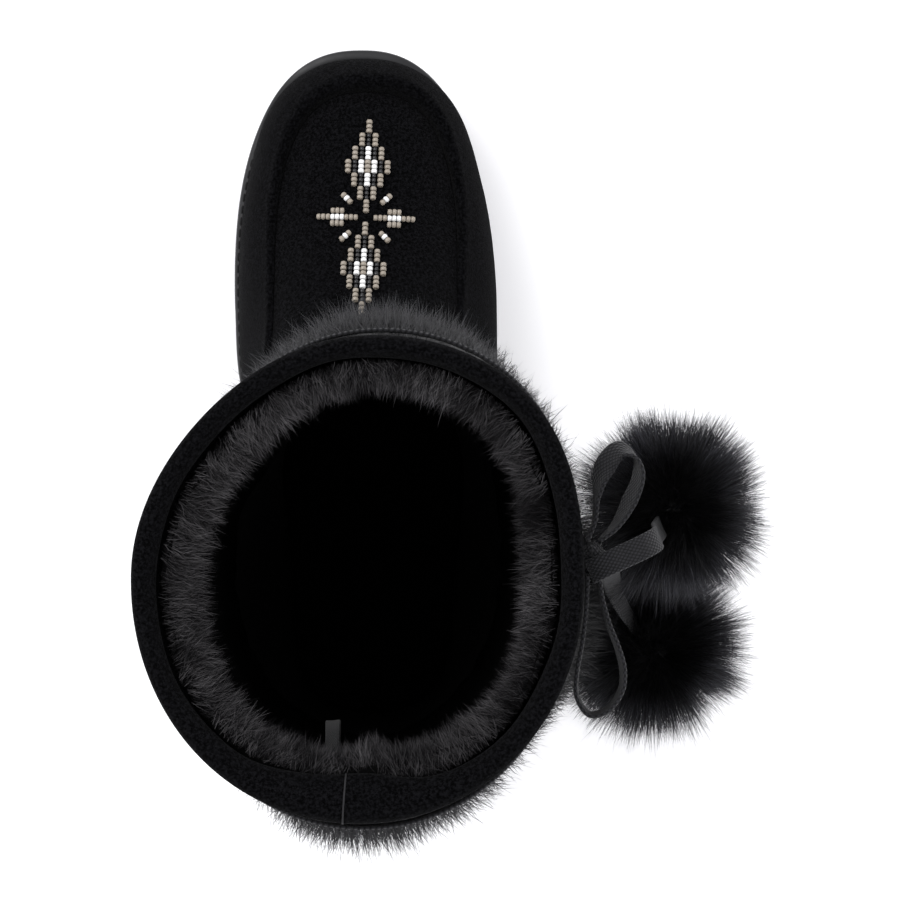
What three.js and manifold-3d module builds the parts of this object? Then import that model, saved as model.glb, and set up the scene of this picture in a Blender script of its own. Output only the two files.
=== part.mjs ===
// A tall winter mukluk for the right foot, standing empty on its sole.
// Millimetres, +Z up, toe towards +Y, outer side of the foot towards +X.
// The origin is on the floor, under the middle of the heel.
import * as THREE from "three";
import { mergeVertices } from "three/addons/utils/BufferGeometryUtils.js";
import Module from "manifold-3d";

const wasm = await Module();
wasm.setup();

// Driving dimensions
const soleLength = 275;
const heelBack = -55; // Y of the back of the sole
const toeTip = heelBack + soleLength;
const shaftTop = 308; // height of the shaft's cut edge, which the collar covers
const wall = 3; // suede with the backing of its lining
const gap = 0.3; // clearance between pieces that lie on each other
const featherHeight = 22; // middle height of the line where upper and sole meet

// Points round each horizontal section, and how strongly they gather where it turns
const ringPoints = 34;
const turnWeight = 22; // mm of outline that one radian of turning counts for

// Sections of the foot: sideways shift, half-width and height above the feather line
// before the heel and toe are rounded off.
const footSections = [
  { along: -55, shift: 0.6, half: 34.8, top: 148 },
  { along: -12, shift: 0.8, half: 34.8, top: 144 },
  { along: 20, shift: 1.6, half: 36.8, top: 132 },
  { along: 55, shift: 1.2, half: 41.2, top: 108 },
  { along: 90, shift: -0.8, half: 46.7, top: 80.6 },
  { along: 116, shift: -1.4, half: 47.6, top: 62.2 },
  { along: 140, shift: -2, half: 47.6, top: 50.8 },
  { along: 165, shift: -2.6, half: 47.6, top: 44.4 },
  { along: 213, shift: -3.4, half: 47.6, top: 45.4 },
];
const lastHeel = heelBack + 5.8;
const lastToe = toeTip - 9.2;
const heelRoundStart = -12;
const toeRoundStart = 116;
const footPower = 2.4; // 2 is an ellipse, and more is fuller

// Sections of the leg: its middle, half-width and half-length at each height.
const legSections = [
  { height: 22, middleX: 0, middleY: 5, halfWidth: 24, halfLength: 40 },
  { height: 70, middleX: 0.3, middleY: 10, halfWidth: 35, halfLength: 54 },
  { height: 110, middleX: 1, middleY: 17, halfWidth: 49, halfLength: 65 },
  { height: 150, middleX: 2, middleY: 18.5, halfWidth: 56, halfLength: 70 },
  { height: 200, middleX: 3.4, middleY: 18, halfWidth: 59.5, halfLength: 73.5 },
  { height: 265, middleX: 4.4, middleY: 17, halfWidth: 62, halfLength: 76.5 },
  { height: 310, middleX: 2.4, middleY: 18, halfWidth: 71, halfLength: 76 },
];
const legPower = 2.05;
// How far the front of the leg leans to the outer side, and the share at which that is most.
const legSkew = 10;
const skewPeak = 0.8;
const blendPower = 9; // higher is a tighter throat between leg and foot

// Heights of the sections that the upper is built through, and those that the vamp lies between.
const upperHeights = [22, 29, 37, 45, 55, 66, 76, 86, 98, 112, 132, 160, 200, 245, 288, shaftTop];
const vampHeights = { from: 42, to: 135 };
// Middles that the outlines are traced from: of the leg, how far the foot's lies ahead, and of the sole.
const legMiddle = [0.6, 18];
const footAhead = 42;
const soleMiddle = [0, 75];

// Lengthwise lines of the sole: tread above the floor, and the feather line.
const soleLines = [
  { along: -55, tread: 3, feather: 25 },
  { along: -44, tread: 0, feather: 24.5 },
  { along: -10, tread: 0, feather: 24 },
  { along: 28, tread: 0, feather: 22.5 },
  { along: 50, tread: 3.6, feather: 20 },
  { along: 74, tread: 0, feather: 18 },
  { along: 104, tread: 0, feather: 17 },
  { along: 134, tread: 0, feather: 17.5 },
  { along: 175, tread: 3.5, feather: 20.5 },
  { along: 220, tread: 12, feather: 27 },
];
const springFade = 110; // height at which the upper no longer follows the feather line

// How far the sole stands out past the foot on each side.
const soleMargin = { inner: 6.4, outer: 4.2 };
// Side of the sole from the tread up: share of its height, and how far it stands out.
const soleSide = [
  { share: 0, out: -3 },
  { share: 0.16, out: -0.5 },
  { share: 0.45, out: 0 },
  { share: 0.5, out: -1.2 },
  { share: 0.6, out: -1.2 },
  { share: 0.65, out: 0 },
  { share: 0.92, out: -0.3 },
  { share: 1, out: -0.6 },
];
const lipHeight = 2.5; // rubber lip above the feather line
const cupClearance = 0.5; // between the lip and the foot wrap
const bumper = { height: 6, from: 186, to: 214 }; // the lip rises into a toe bumper
const lug = { depth: 4, length: 9, pitch: 14.5, margin: 4, slant: 6 };
const heelPad = { halfWidth: 15, halfLength: 19, sides: 12 };
// Pairs of heel lugs: where each pair starts, and the clear width between its two lugs.
const heelLugs = [
  { along: -46, clear: 4 },
  { along: -31, clear: 26 },
  { along: -16.5, clear: 38 },
  { along: -2, clear: 36 },
  { along: 14, clear: 14 },
];
const frontLugs = { from: 72, pairs: 9, clear: 4 };
const insoleThickness = 7;
const insoleRound = 2.5; // its upper edge

// Suede wrapped round the foot, with a U cut out of it over the vamp.
const wrapThickness = 1.6;
const plug = { front: 201, inner: -37, outer: 35, power: 2.6, roundFrom: 130, back: 60, bottom: 32 };
const wrapTop = [
  { along: -80, height: 85 },
  { along: -20, height: 87 },
  { along: 30, height: 96 },
  { along: 66, height: 108 },
  { along: 110, height: 118 },
];

// Suede collar folded over the top of the shaft.
const collar = { thickness: 2, drop: 20, turnIn: 16, round: 0.5 };

// Pile lining of the shaft: how far its inner face stands in from the suede at each height.
const liningInside = [
  { height: 304, inset: 8 },
  { height: 299, inset: 9.8 },
  { height: 286, inset: 10.4 },
  { height: 255, inset: 9.6 },
  { height: 210, inset: 8.4 },
  { height: 160, inset: 7.6 },
];
// It swells towards the top at the front and most of all at the back.
const liningSwell = { front: 3, back: 8, from: 200, to: 280 };
const liningLedge = 291.5; // where it steps in under the collar's turned-in edge
const liningRim = 302;
const liningGap = 0.4;

// Fur band below the collar: distance from the suede at each height, and its locks.
const furInner = 0.4;
const furSections = [
  { height: 287, out: 3.2 },
  { height: 278, out: 3.4 },
  { height: 272, out: 7.6 },
  { height: 258, out: 9.6 },
  { height: 232, out: 10 },
  { height: 204, out: 8.6 },
  { height: 188, out: 4.8 },
  { height: 183, out: 1.6 },
];
const furLocks = { rows: [262, 236, 210], each: 14, sunk: 4, radius: 9, length: 36, lean: 0.36 };
const lockSides = 4;

// Flat lace: round the leg under the collar, tied in a bow on the outer side.
const lace = { width: 8, thickness: 1.6 };
const laceHeight = 282.5;
const laceOut = 3.9; // inner face of the lace from the suede
const knot = { x: 78.5, y: 24, z: 282.5, halfX: 4.1, halfY: 5.2, halfZ: 5 };
const bowFront = [
  [76.8, 29.5, 283], [79.2, 36, 283], [80.2, 45, 283], [82.2, 53, 283], [87.2, 59.3, 283],
  [92.6, 57, 283], [93.6, 50.5, 283], [90.6, 42.5, 283], [86, 34.5, 283], [80.9, 29.6, 283],
];
const bowBack = [
  [76.8, 18.5, 283], [77.2, 9, 283], [76.9, -3, 283], [76.8, -14, 283], [78.2, -22.5, 283],
  [82.6, -26.6, 283], [87.6, -22, 283], [89.2, -14.5, 283], [87.4, -6, 283], [84, 3, 283],
  [82, 11, 283], [80.6, 18.4, 283],
];
const endFront = [
  [83.6, 24.4, 283.6], [89, 25.4, 285.4], [94.5, 27.4, 285.2], [99.4, 30, 282], [102.6, 32.4, 274],
  [105, 34.4, 262], [107.2, 36.4, 250], [109.4, 37.4, 240.4],
];
const endBack = [
  [83.4, 23.8, 279.4], [86, 19, 275], [88, 13.5, 264], [90.5, 7.5, 249], [94.5, 1, 232],
  [99.6, -5, 216], [105, -9.4, 205.6],
];

// Fur pompoms on the lace's two ends.
const pompoms = [
  { name: "pompom_front", x: 111, y: 38.5, z: 215 },
  { name: "pompom_back", x: 107.5, y: -10.4, z: 180 },
];
const pompom = { core: 25, locks: 24, lockRadius: 10, lockReach: 31.5, lockRoot: 0.72 };
const bareCap = 0.9; // share of the height above which a pompom has no locks

// Seed-bead motifs over the vamp, as panels of the beads' height.
const bead = { length: 1.78, width: 2.55, run: 3, height: 1.9 };
const motif = { x: -1, y: 149.8, turn: 1.8, diamond: 20.6, cross: 11, ray: 7.6 };

// Ribbon loop at the back of the collar, inside.
const ribbon = { width: 5, thickness: 1, x: -6 };
const ribbonPath = [[-39.3, 298.5], [-35.8, 298], [-31, 294.4], [-29, 288.8], [-32.8, 283.6], [-39.1, 281.8]];

// Materials
const suede = new THREE.MeshStandardMaterial({ color: 0x0b0b0d, roughness: 0.95, metalness: 0 });
const rubber = new THREE.MeshStandardMaterial({ color: 0x2a2a2c, roughness: 0.5, metalness: 0 });
const fleece = new THREE.MeshStandardMaterial({ color: 0x2b292b, roughness: 1, metalness: 0 });
const fur = new THREE.MeshStandardMaterial({ color: 0x1b1a1d, roughness: 0.8, metalness: 0 });
const braid = new THREE.MeshStandardMaterial({ color: 0x2c2c30, roughness: 0.85, metalness: 0 });
const glassBead = new THREE.MeshStandardMaterial({ color: 0xb9b1a8, roughness: 0.35, metalness: 0 });

// Tables and small sums

// One column of a table at a place between its rows, as a smooth curve through them.
function column(table, by, name, at) {
  const last = table.length - 1;
  if (at <= table[0][by]) return table[0][name];
  if (at >= table[last][by]) return table[last][name];
  const i = table.findIndex((row) => row[by] > at) - 1;
  const slope = (j) => {
    const before = table[Math.max(j - 1, 0)];
    const after = table[Math.min(j + 1, last)];
    return (after[name] - before[name]) / (after[by] - before[by]);
  };
  const span = table[i + 1][by] - table[i][by];
  const t = (at - table[i][by]) / span;
  const rise = table[i + 1][name] - table[i][name];
  const bend = t * t * (3 - 2 * t);
  const leave = t * (1 - t) * (1 - t) * slope(i);
  const arrive = t * t * (t - 1) * slope(i + 1);
  return table[i][name] + rise * bend + span * (leave + arrive);
}

const treadAt = (y) => Math.max(column(soleLines, "along", "tread", y), 0);
const featherAt = (y) => column(soleLines, "along", "feather", y);
const powerSum = (power, ...terms) => terms.reduce((sum, t) => sum + t ** power, 0) ** (1 / power);

// The form of the boot

// 1 on the surface of the foot, less inside it and more outside.
function footLevel(x, y, z) {
  const value = (name) => column(footSections, "along", name, y);
  const across = Math.abs(x - value("shift")) / value("half");
  const up = Math.max(z - featherHeight, 0) / value("top");
  const toe = Math.max((y - toeRoundStart) / (lastToe - toeRoundStart), 0);
  const heel = Math.max((heelRoundStart - y) / (heelRoundStart - lastHeel), 0);
  return powerSum(footPower, across, up, toe + heel);
}

// 1 on the surface of the leg, less inside it and more outside.
function legLevel(x, y, z) {
  const value = (name) => column(legSections, "height", name, z);
  const along = (y - value("middleY")) / value("halfLength");
  const front = Math.min(Math.max(along, 0), 1) ** 2;
  const lean = legSkew * front * (2 * skewPeak - front);
  const across = (x - value("middleX") - lean) / value("halfWidth");
  return powerSum(legPower, Math.abs(across), Math.abs(along));
}

// Leg and foot run into each other with a soft throat.
function bootLevel(x, y, z) {
  const least = 0.05;
  const foot = Math.max(footLevel(x, y, z), least);
  const leg = Math.max(legLevel(x, y, z), least);
  return (foot ** -blendPower + leg ** -blendPower) ** (-1 / blendPower);
}

// Direction that the boot's outer surface faces at a point on it. The leg is taken as upright.
function facingAt(x, y, z) {
  const step = 0.5;
  const rise = z > springFade ? 0 : bootLevel(x, y, z + step) - bootLevel(x, y, z - step);
  return new THREE.Vector3(
    bootLevel(x + step, y, z) - bootLevel(x - step, y, z),
    bootLevel(x, y + step, z) - bootLevel(x, y - step, z),
    rise,
  ).normalize();
}

// Distance from the sole's outline, seen from above.
function soleDistance(x, y) {
  const side = x > column(footSections, "along", "shift", y) ? soleMargin.outer : soleMargin.inner;
  const level = (px, py) => {
    const half = column(footSections, "along", "half", py) + side;
    const across = Math.abs(px - column(footSections, "along", "shift", py)) / half;
    const toe = Math.max((py - toeRoundStart) / (toeTip - toeRoundStart), 0);
    const heel = Math.max((heelRoundStart - py) / (heelRoundStart - heelBack), 0);
    return powerSum(footPower, across, toe + heel);
  };
  const step = 0.5;
  const slope = Math.hypot(
    (level(x + step, y) - level(x - step, y)) / (2 * step),
    (level(x, y + step) - level(x, y - step)) / (2 * step),
  );
  return (level(x, y) - 1) / Math.max(slope, 1e-4);
}

// Outlines and solids

// Closed outline where distance(x, y) is zero, counter-clockwise from the back, seen from a middle.
// Its points gather where it turns, and half of them lie on each side.
function traceOutline(distance, middle, count) {
  const rays = 144;
  const reach = 260;
  const fine = [];
  for (let i = 0; i < rays; i += 1) {
    const angle = (2 * Math.PI * i) / rays - Math.PI / 2;
    let [near, far] = [0, reach];
    while (far - near > 0.002) {
      const r = (near + far) / 2;
      const outside = distance(middle[0] + r * Math.cos(angle), middle[1] + r * Math.sin(angle)) > 0;
      if (outside) far = r;
      else near = r;
    }
    fine.push(new THREE.Vector2(middle[0] + near * Math.cos(angle), middle[1] + near * Math.sin(angle)));
  }
  const at = (i) => fine[(i + rays) % rays];
  const run = [0];
  for (let i = 1; i <= rays; i += 1) {
    const into = at(i).clone().sub(at(i - 1));
    const out = at(i + 1).clone().sub(at(i));
    const turning = Math.abs(Math.atan2(into.cross(out), into.dot(out)));
    run.push(run[i - 1] + into.length() + turnWeight * turning);
  }
  const sides = [[0, rays / 2], [rays / 2, rays]];
  return sides.flatMap(([from, to]) =>
    Array.from({ length: count / 2 }, (_, k) => {
      const want = run[from] + ((run[to] - run[from]) * k) / (count / 2);
      let i = from;
      while (run[i + 1] < want) i += 1;
      return at(i).clone().lerp(at(i + 1), (want - run[i]) / (run[i + 1] - run[i]));
    }),
  );
}

// Section of the boot's outer surface at a height: its points, and the direction each one faces.
const knownSections = new Map();
function sectionAt(height) {
  if (!knownSections.has(height)) {
    const low = Math.min(Math.max((springFade - height) / (springFade - featherHeight), 0), 1);
    const middle = [legMiddle[0], legMiddle[1] + footAhead * low * low];
    const outline = traceOutline((x, y) => bootLevel(x, y, height) - 1, middle, ringPoints);
    const points = outline.map((p) => ({
      at: new THREE.Vector3(p.x, p.y, height),
      facing: facingAt(p.x, p.y, height),
    }));
    knownSections.set(height, points);
  }
  return knownSections.get(height);
}

// Ring of points round the boot, that far out from its surface at a height.
// Low down the ring follows the toe spring and the heel.
function bootRing(height, offset) {
  return sectionAt(height).map(({ at, facing }) => {
    const p = at.clone().addScaledVector(facing, offset);
    const low = Math.min(Math.max((springFade - p.z) / (springFade - featherHeight), 0), 1);
    p.z += (featherAt(p.y) - featherHeight) * low * low * (3 - 2 * low);
    return p;
  });
}

function geometryOf(positions, triangles) {
  const geometry = new THREE.BufferGeometry();
  geometry.setAttribute("position", new THREE.Float32BufferAttribute(positions, 3));
  geometry.setIndex(triangles);
  return geometry;
}

// Skin through rings of equal count: closed back to the first ring, or capped across both ends.
// Walls that lie on each other are split the same way, whether their rings run up or down.
function skin(rings, { capped }) {
  const count = rings[0].length;
  const positions = rings.flat().flatMap((p) => [p.x, p.y, p.z]);
  const triangles = [];
  const bands = capped ? rings.length - 1 : rings.length;
  for (let r = 0; r < bands; r += 1) {
    const above = (r + 1) % rings.length;
    for (let i = 0; i < count; i += 1) {
      const j = (i + 1) % count;
      const [a, b, c, d] = [r * count + i, r * count + j, above * count + j, above * count + i];
      if (rings[above][0].z >= rings[r][0].z) triangles.push(a, b, c, a, c, d);
      else triangles.push(a, b, d, b, c, d);
    }
  }
  if (capped) {
    const top = (rings.length - 1) * count;
    for (let i = 0; i < count / 2; i += 1) {
      const mirror = (k) => (count - k) % count;
      const [a, b, c, d] = [i, i + 1, mirror(i + 1), mirror(i)];
      if (i > 0) {
        triangles.push(a, d, b);
        triangles.push(top + a, top + b, top + d);
      }
      if (i < count / 2 - 1) {
        triangles.push(b, d, c);
        triangles.push(top + b, top + c, top + d);
      }
    }
  }
  return geometryOf(positions, triangles);
}

function solidOf(geometry) {
  const bare = geometry.clone();
  bare.deleteAttribute("normal");
  bare.deleteAttribute("uv");
  const merged = mergeVertices(bare, 1e-3);
  return new wasm.Manifold(
    new wasm.Mesh({
      numProp: 3,
      vertProperties: merged.attributes.position.array,
      triVerts: new Uint32Array(merged.index.array),
    }),
  );
}

function geometryFrom(solid) {
  const mesh = solid.getMesh();
  return geometryOf(Array.from(mesh.vertProperties), Array.from(mesh.triVerts));
}

// Wall between two distances from the boot's surface, through the heights given.
function wallBetween(innerOffset, outerOffset, heights) {
  const outer = heights.map((h) => bootRing(h, outerOffset));
  const inner = heights.map((h) => bootRing(h, innerOffset)).reverse();
  return skin([...outer, ...inner], { capped: false });
}

// Upright prism over an outline of [x, y] points.
function prism(points, bottom, top) {
  const shape = new THREE.Shape(points.map(([x, y]) => new THREE.Vector2(x, y)));
  const geometry = new THREE.ExtrudeGeometry(shape, { depth: top - bottom, bevelEnabled: false });
  return solidOf(geometry.translate(0, 0, bottom));
}

// Sole and footbed

const lipAt = (y) => {
  const rise = THREE.MathUtils.smoothstep(y, bumper.from, bumper.to);
  return featherAt(y) + lipHeight + bumper.height * rise;
};

function lugSolid(corners) {
  const count = corners.length;
  const ring = (raise) => corners.map(([x, y]) => new THREE.Vector3(x, y, treadAt(y) + raise));
  const rings = [...ring(0), ...ring(lug.depth + 1)];
  const triangles = [];
  for (let i = 0; i < count; i += 1) {
    const j = (i + 1) % count;
    triangles.push(i, j, count + j, i, count + j, count + i);
    if (i > 0 && i < count - 1) triangles.push(0, i + 1, i, count, count + i, count + i + 1);
  }
  return solidOf(geometryOf(rings.flatMap((p) => [p.x, p.y, p.z]), triangles));
}

// Slanted lugs in pairs along the foot, with a groove between the two of a pair.
function lugPair(y, clear) {
  const edge = (side, at) => {
    const half = column(footSections, "along", "half", at);
    const round = Math.max((at - toeRoundStart) / (toeTip - toeRoundStart), 0);
    const heel = Math.max((heelRoundStart - at) / (heelRoundStart - heelBack), 0);
    const reach = (half + 2) * (1 - (round + heel) ** footPower) ** (1 / footPower) - lug.margin;
    return column(footSections, "along", "shift", at) + side * reach;
  };
  const middle = column(footSections, "along", "shift", y);
  return [-1, 1].map((side) => {
    const inside = middle + (side * clear) / 2;
    const corners = [
      [inside, y + lug.slant],
      [edge(side, y), y],
      [edge(side, y + lug.length), y + lug.length],
      [inside, y + lug.length + lug.slant],
    ];
    return lugSolid(side > 0 ? corners : corners.reverse());
  });
}

function outsole() {
  const outline = (out) => traceOutline((x, y) => soleDistance(x, y) - out, soleMiddle, ringPoints);
  const side = soleSide.map(({ share, out }) =>
    outline(out).map((p) => {
      const bottom = treadAt(p.y) + lug.depth;
      return new THREE.Vector3(p.x, p.y, bottom + (lipAt(p.y) - bottom) * share);
    }),
  );
  const cup = bootRing(featherHeight, gap + wrapThickness + cupClearance);
  const lip = cup.map((p) => new THREE.Vector3(p.x, p.y, lipAt(p.y)));
  const floor = cup.map((p) => new THREE.Vector3(p.x, p.y, featherAt(p.y) - gap));
  const base = solidOf(skin([...side, lip, floor], { capped: true }));
  const pad = Array.from({ length: heelPad.sides }, (_, i) => {
    const angle = (2 * Math.PI * i) / heelPad.sides;
    return [heelPad.halfWidth * Math.cos(angle), heelPad.halfLength * Math.sin(angle)];
  });
  const front = Array.from({ length: frontLugs.pairs }, (_, i) => frontLugs.from + i * lug.pitch);
  const lugs = [
    ...heelLugs.flatMap(({ along, clear }) => lugPair(along, clear)),
    ...front.flatMap((along) => lugPair(along, frontLugs.clear)),
  ];
  return geometryFrom([lugSolid(pad), ...lugs].reduce((sum, piece) => sum.add(piece), base));
}

function insole() {
  const edge = -(wall + 2 * gap);
  const rings = [
    bootRing(featherHeight, edge),
    bootRing(featherHeight + insoleThickness - insoleRound, edge),
    bootRing(featherHeight + insoleThickness, edge - insoleRound),
  ];
  return skin(rings, { capped: true });
}

// Upper, foot wrap, collar, lining and fur band

const upper = () => wallBetween(-wall, 0, upperHeights);

function plugOutline() {
  const middle = (plug.inner + plug.outer) / 2;
  const half = (plug.outer - plug.inner) / 2;
  const steps = 14;
  const round = Array.from({ length: steps + 1 }, (_, i) => {
    const angle = (Math.PI * i) / steps;
    const x = Math.sign(Math.cos(angle)) * Math.abs(Math.cos(angle)) ** (2 / plug.power);
    const y = Math.sin(angle) ** (2 / plug.power);
    return [middle + half * x, plug.roundFrom + (plug.front - plug.roundFrom) * y];
  });
  return [...round, [plug.inner, plug.back], [plug.outer, plug.back]];
}

function footWrap() {
  const heights = upperHeights.filter((h) => h <= vampHeights.to);
  const sheet = solidOf(wallBetween(gap, gap + wrapThickness, heights));
  const [pastToe, low] = [toeTip + 20, -10];
  const sideView = [
    ...wrapTop.map(({ along, height }) => [along, height]),
    [pastToe, wrapTop[wrapTop.length - 1].height],
    [pastToe, low],
    [wrapTop[0].along, low],
  ];
  const width = 200;
  const shape = new THREE.Shape(sideView.map(([y, z]) => new THREE.Vector2(y, z)));
  const below = new THREE.ExtrudeGeometry(shape, { depth: width, bevelEnabled: false });
  below.translate(0, 0, -width / 2);
  below.applyMatrix4(new THREE.Matrix4().set(0, 0, 1, 0, 1, 0, 0, 0, 0, 1, 0, 0, 0, 0, 0, 1));
  const vamp = prism(plugOutline(), plug.bottom, vampHeights.to);
  return geometryFrom(sheet.intersect(solidOf(below)).subtract(vamp));
}

function collarBand() {
  const inside = -(wall + gap);
  const top = shaftTop + gap;
  const profile = [
    { height: shaftTop - collar.drop, offset: gap },
    { height: shaftTop - collar.drop, offset: gap + collar.thickness },
    { height: shaftTop - collar.round, offset: gap + collar.thickness },
    { height: top + collar.thickness, offset: -wall / 2 },
    { height: shaftTop - collar.round, offset: inside - collar.thickness },
    { height: shaftTop - collar.turnIn, offset: inside - collar.thickness },
    { height: shaftTop - collar.turnIn, offset: inside },
    { height: top, offset: inside },
    { height: top, offset: gap },
  ];
  return skin(profile.map(({ height, offset }) => bootRing(height, offset)), { capped: false });
}

// Sleeve of pile inside the shaft: up along the suede, in under the collar, and down its inner face.
function lining() {
  const bottom = liningInside[liningInside.length - 1].height;
  const heights = upperHeights.filter((h) => h >= bottom && h < liningLedge);
  const besideSuede = -(wall + liningGap);
  const besideCollar = -(wall + gap + collar.thickness + liningGap);
  const inside = liningInside.map(({ height, inset }) => {
    const swell = THREE.MathUtils.smoothstep(height, liningSwell.from, liningSwell.to);
    return sectionAt(height).map(({ at, facing }) => {
      const most = facing.y > 0 ? liningSwell.front : liningSwell.back;
      return at.clone().addScaledVector(facing, -inset - swell * most * facing.y ** 2);
    });
  });
  const rings = [
    ...heights.map((h) => bootRing(h, besideSuede)),
    bootRing(liningLedge, besideSuede),
    bootRing(liningLedge, besideCollar),
    bootRing(liningRim, besideCollar),
    ...inside,
  ];
  return skin(rings, { capped: false });
}

// A tapered lock of fur from a root towards a tip.
function lock(root, tip, radius) {
  const along = tip.clone().sub(root);
  const cone = new THREE.ConeGeometry(radius, along.length(), lockSides);
  cone.translate(0, along.length() / 2, 0);
  const turn = new THREE.Quaternion().setFromUnitVectors(new THREE.Vector3(0, 1, 0), along.normalize());
  return solidOf(cone.applyQuaternion(turn).translate(root.x, root.y, root.z));
}

// The band is a filled form with locks fused on, and the leg is then cut out of it.
function furBand() {
  const upwards = [...furSections].reverse();
  let band = solidOf(skin(upwards.map(({ height, out }) => bootRing(height, out)), { capped: true }));
  furLocks.rows.forEach((height, row) => {
    const out = column(upwards, "height", "out", height);
    const roots = bootRing(height, out - furLocks.sunk);
    const faces = bootRing(height, out);
    for (let k = 0; k < furLocks.each; k += 1) {
      const i = Math.round(((k + (row % 2) / 2) * ringPoints) / furLocks.each) % ringPoints;
      const away = faces[i].clone().sub(roots[i]).normalize().multiplyScalar(furLocks.lean);
      const tip = away.add(new THREE.Vector3(0, 0, -1)).normalize().multiplyScalar(furLocks.length);
      band = band.add(lock(roots[i], roots[i].clone().add(tip), furLocks.radius));
    }
  });
  const leg = upperHeights.filter((h) => h > springFade).map((h) => bootRing(h, furInner));
  return geometryFrom(band.subtract(solidOf(skin(leg, { capped: true }))));
}

// Lace, bow and pompoms

function laceWrap() {
  const profile = [
    { rise: -lace.width / 2, out: laceOut },
    { rise: -lace.width / 2, out: laceOut + lace.thickness },
    { rise: lace.width / 2, out: laceOut + lace.thickness },
    { rise: lace.width / 2, out: laceOut },
  ];
  return skin(profile.map(({ rise, out }) => bootRing(laceHeight + rise, out)), { capped: false });
}

// Flat strip with rounded edges along a path, its width across the frame's first or second side.
function strip(points, { width, thickness, standing, steps }) {
  const [w, t] = [width / 2, thickness / 2];
  const section = [[w, 0], [w - t, t], [0, t], [t - w, t], [-w, 0], [t - w, -t], [0, -t], [w - t, -t]];
  const corners = section.map(([a, b]) => (standing ? [a, b] : [-b, a]));
  const shape = new THREE.Shape(corners.map(([a, b]) => new THREE.Vector2(a, b)));
  const path = new THREE.CatmullRomCurve3(points.map((p) => new THREE.Vector3(...p)));
  return new THREE.ExtrudeGeometry(shape, { steps, extrudePath: path, bevelEnabled: false });
}

function bowKnot() {
  const ball = new THREE.IcosahedronGeometry(1, 1);
  return ball.scale(knot.halfX, knot.halfY, knot.halfZ).translate(knot.x, knot.y, knot.z);
}

// Ball of fur: a round core with locks set evenly round it, bare where the lace comes in at the top.
function pompomBall() {
  let ball = solidOf(new THREE.IcosahedronGeometry(pompom.core, 2));
  const turnStep = Math.PI * (3 - Math.sqrt(5));
  for (let i = 0; i < pompom.locks; i += 1) {
    const up = 1 - (2 * i + 1) / pompom.locks;
    if (up > bareCap) continue;
    const across = Math.sqrt(1 - up * up);
    const away = new THREE.Vector3(across * Math.cos(i * turnStep), across * Math.sin(i * turnStep), up);
    const root = away.clone().multiplyScalar(pompom.core * pompom.lockRoot);
    const tip = away.clone().multiplyScalar(pompom.lockReach);
    ball = ball.add(lock(root, tip, pompom.lockRadius));
  }
  return geometryFrom(ball);
}

// Beadwork

// Stepped diamond: the number of beads across grows and shrinks by one string on each side.
function steppedDiamond() {
  const run = bead.run * bead.length;
  const stepsOut = 3;
  const corners = [];
  for (let c = 0; c <= stepsOut; c += 1) {
    const y = (stepsOut - c + 0.5) * run;
    corners.push([(c - 0.5) * bead.width, y], [(c + 0.5) * bead.width, y]);
  }
  const right = corners.filter(([x]) => x > 0);
  const lower = right.map(([x, y]) => [x, -y]).reverse();
  const half = [...right, ...lower];
  return [...half, ...half.map(([x, y]) => [-x, y]).reverse()].reverse();
}

function crossOutline() {
  const run = bead.run * bead.length;
  const [long, short, low, high] = [1.5 * run, 0.5 * run, 0.5 * bead.width, 1.5 * bead.width];
  return [
    [long, -low], [long, low], [short, low], [short, high], [-short, high], [-short, low],
    [-long, low], [-long, -low], [-short, -low], [-short, -high], [short, -high], [short, -low],
  ];
}

function rayOutline() {
  const [long, half] = [(bead.run * bead.length) / 2, bead.width / 2];
  return [[long, -half], [long, half], [-long, half], [-long, -half]];
}

const beadMotifs = [
  { name: "bead_diamond_toe", outline: steppedDiamond(), x: 0, y: motif.diamond, turn: 0 },
  { name: "bead_diamond_instep", outline: steppedDiamond(), x: 0, y: -motif.diamond, turn: 0 },
  { name: "bead_cross_inner", outline: crossOutline(), x: -motif.cross, y: 0, turn: 0 },
  { name: "bead_cross_outer", outline: crossOutline(), x: motif.cross, y: 0, turn: 0 },
  ...[45, 135, 225, 315].map((turn, i) => ({
    name: `bead_ray_${i + 1}`,
    outline: rayOutline(),
    x: motif.ray * Math.sign(Math.cos((turn * Math.PI) / 180)),
    y: motif.ray * Math.sign(Math.sin((turn * Math.PI) / 180)),
    turn,
  })),
];

function beadPanel(cover, { outline, x, y, turn }) {
  const place = new THREE.Matrix4().makeTranslation(motif.x, motif.y, 0);
  place.multiply(new THREE.Matrix4().makeRotationZ(THREE.MathUtils.degToRad(-motif.turn)));
  place.multiply(new THREE.Matrix4().makeTranslation(x, y, 0));
  place.multiply(new THREE.Matrix4().makeRotationZ(THREE.MathUtils.degToRad(turn)));
  const points = outline.map(([px, py]) => new THREE.Vector3(px, py, 0).applyMatrix4(place));
  return geometryFrom(cover.intersect(prism(points.map((p) => [p.x, p.y]), plug.bottom, vampHeights.to)));
}

// The boot

const boot = new THREE.Group();

function piece(name, geometry, material) {
  const mesh = new THREE.Mesh(geometry, material);
  mesh.name = name;
  boot.add(mesh);
  return mesh;
}

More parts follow.
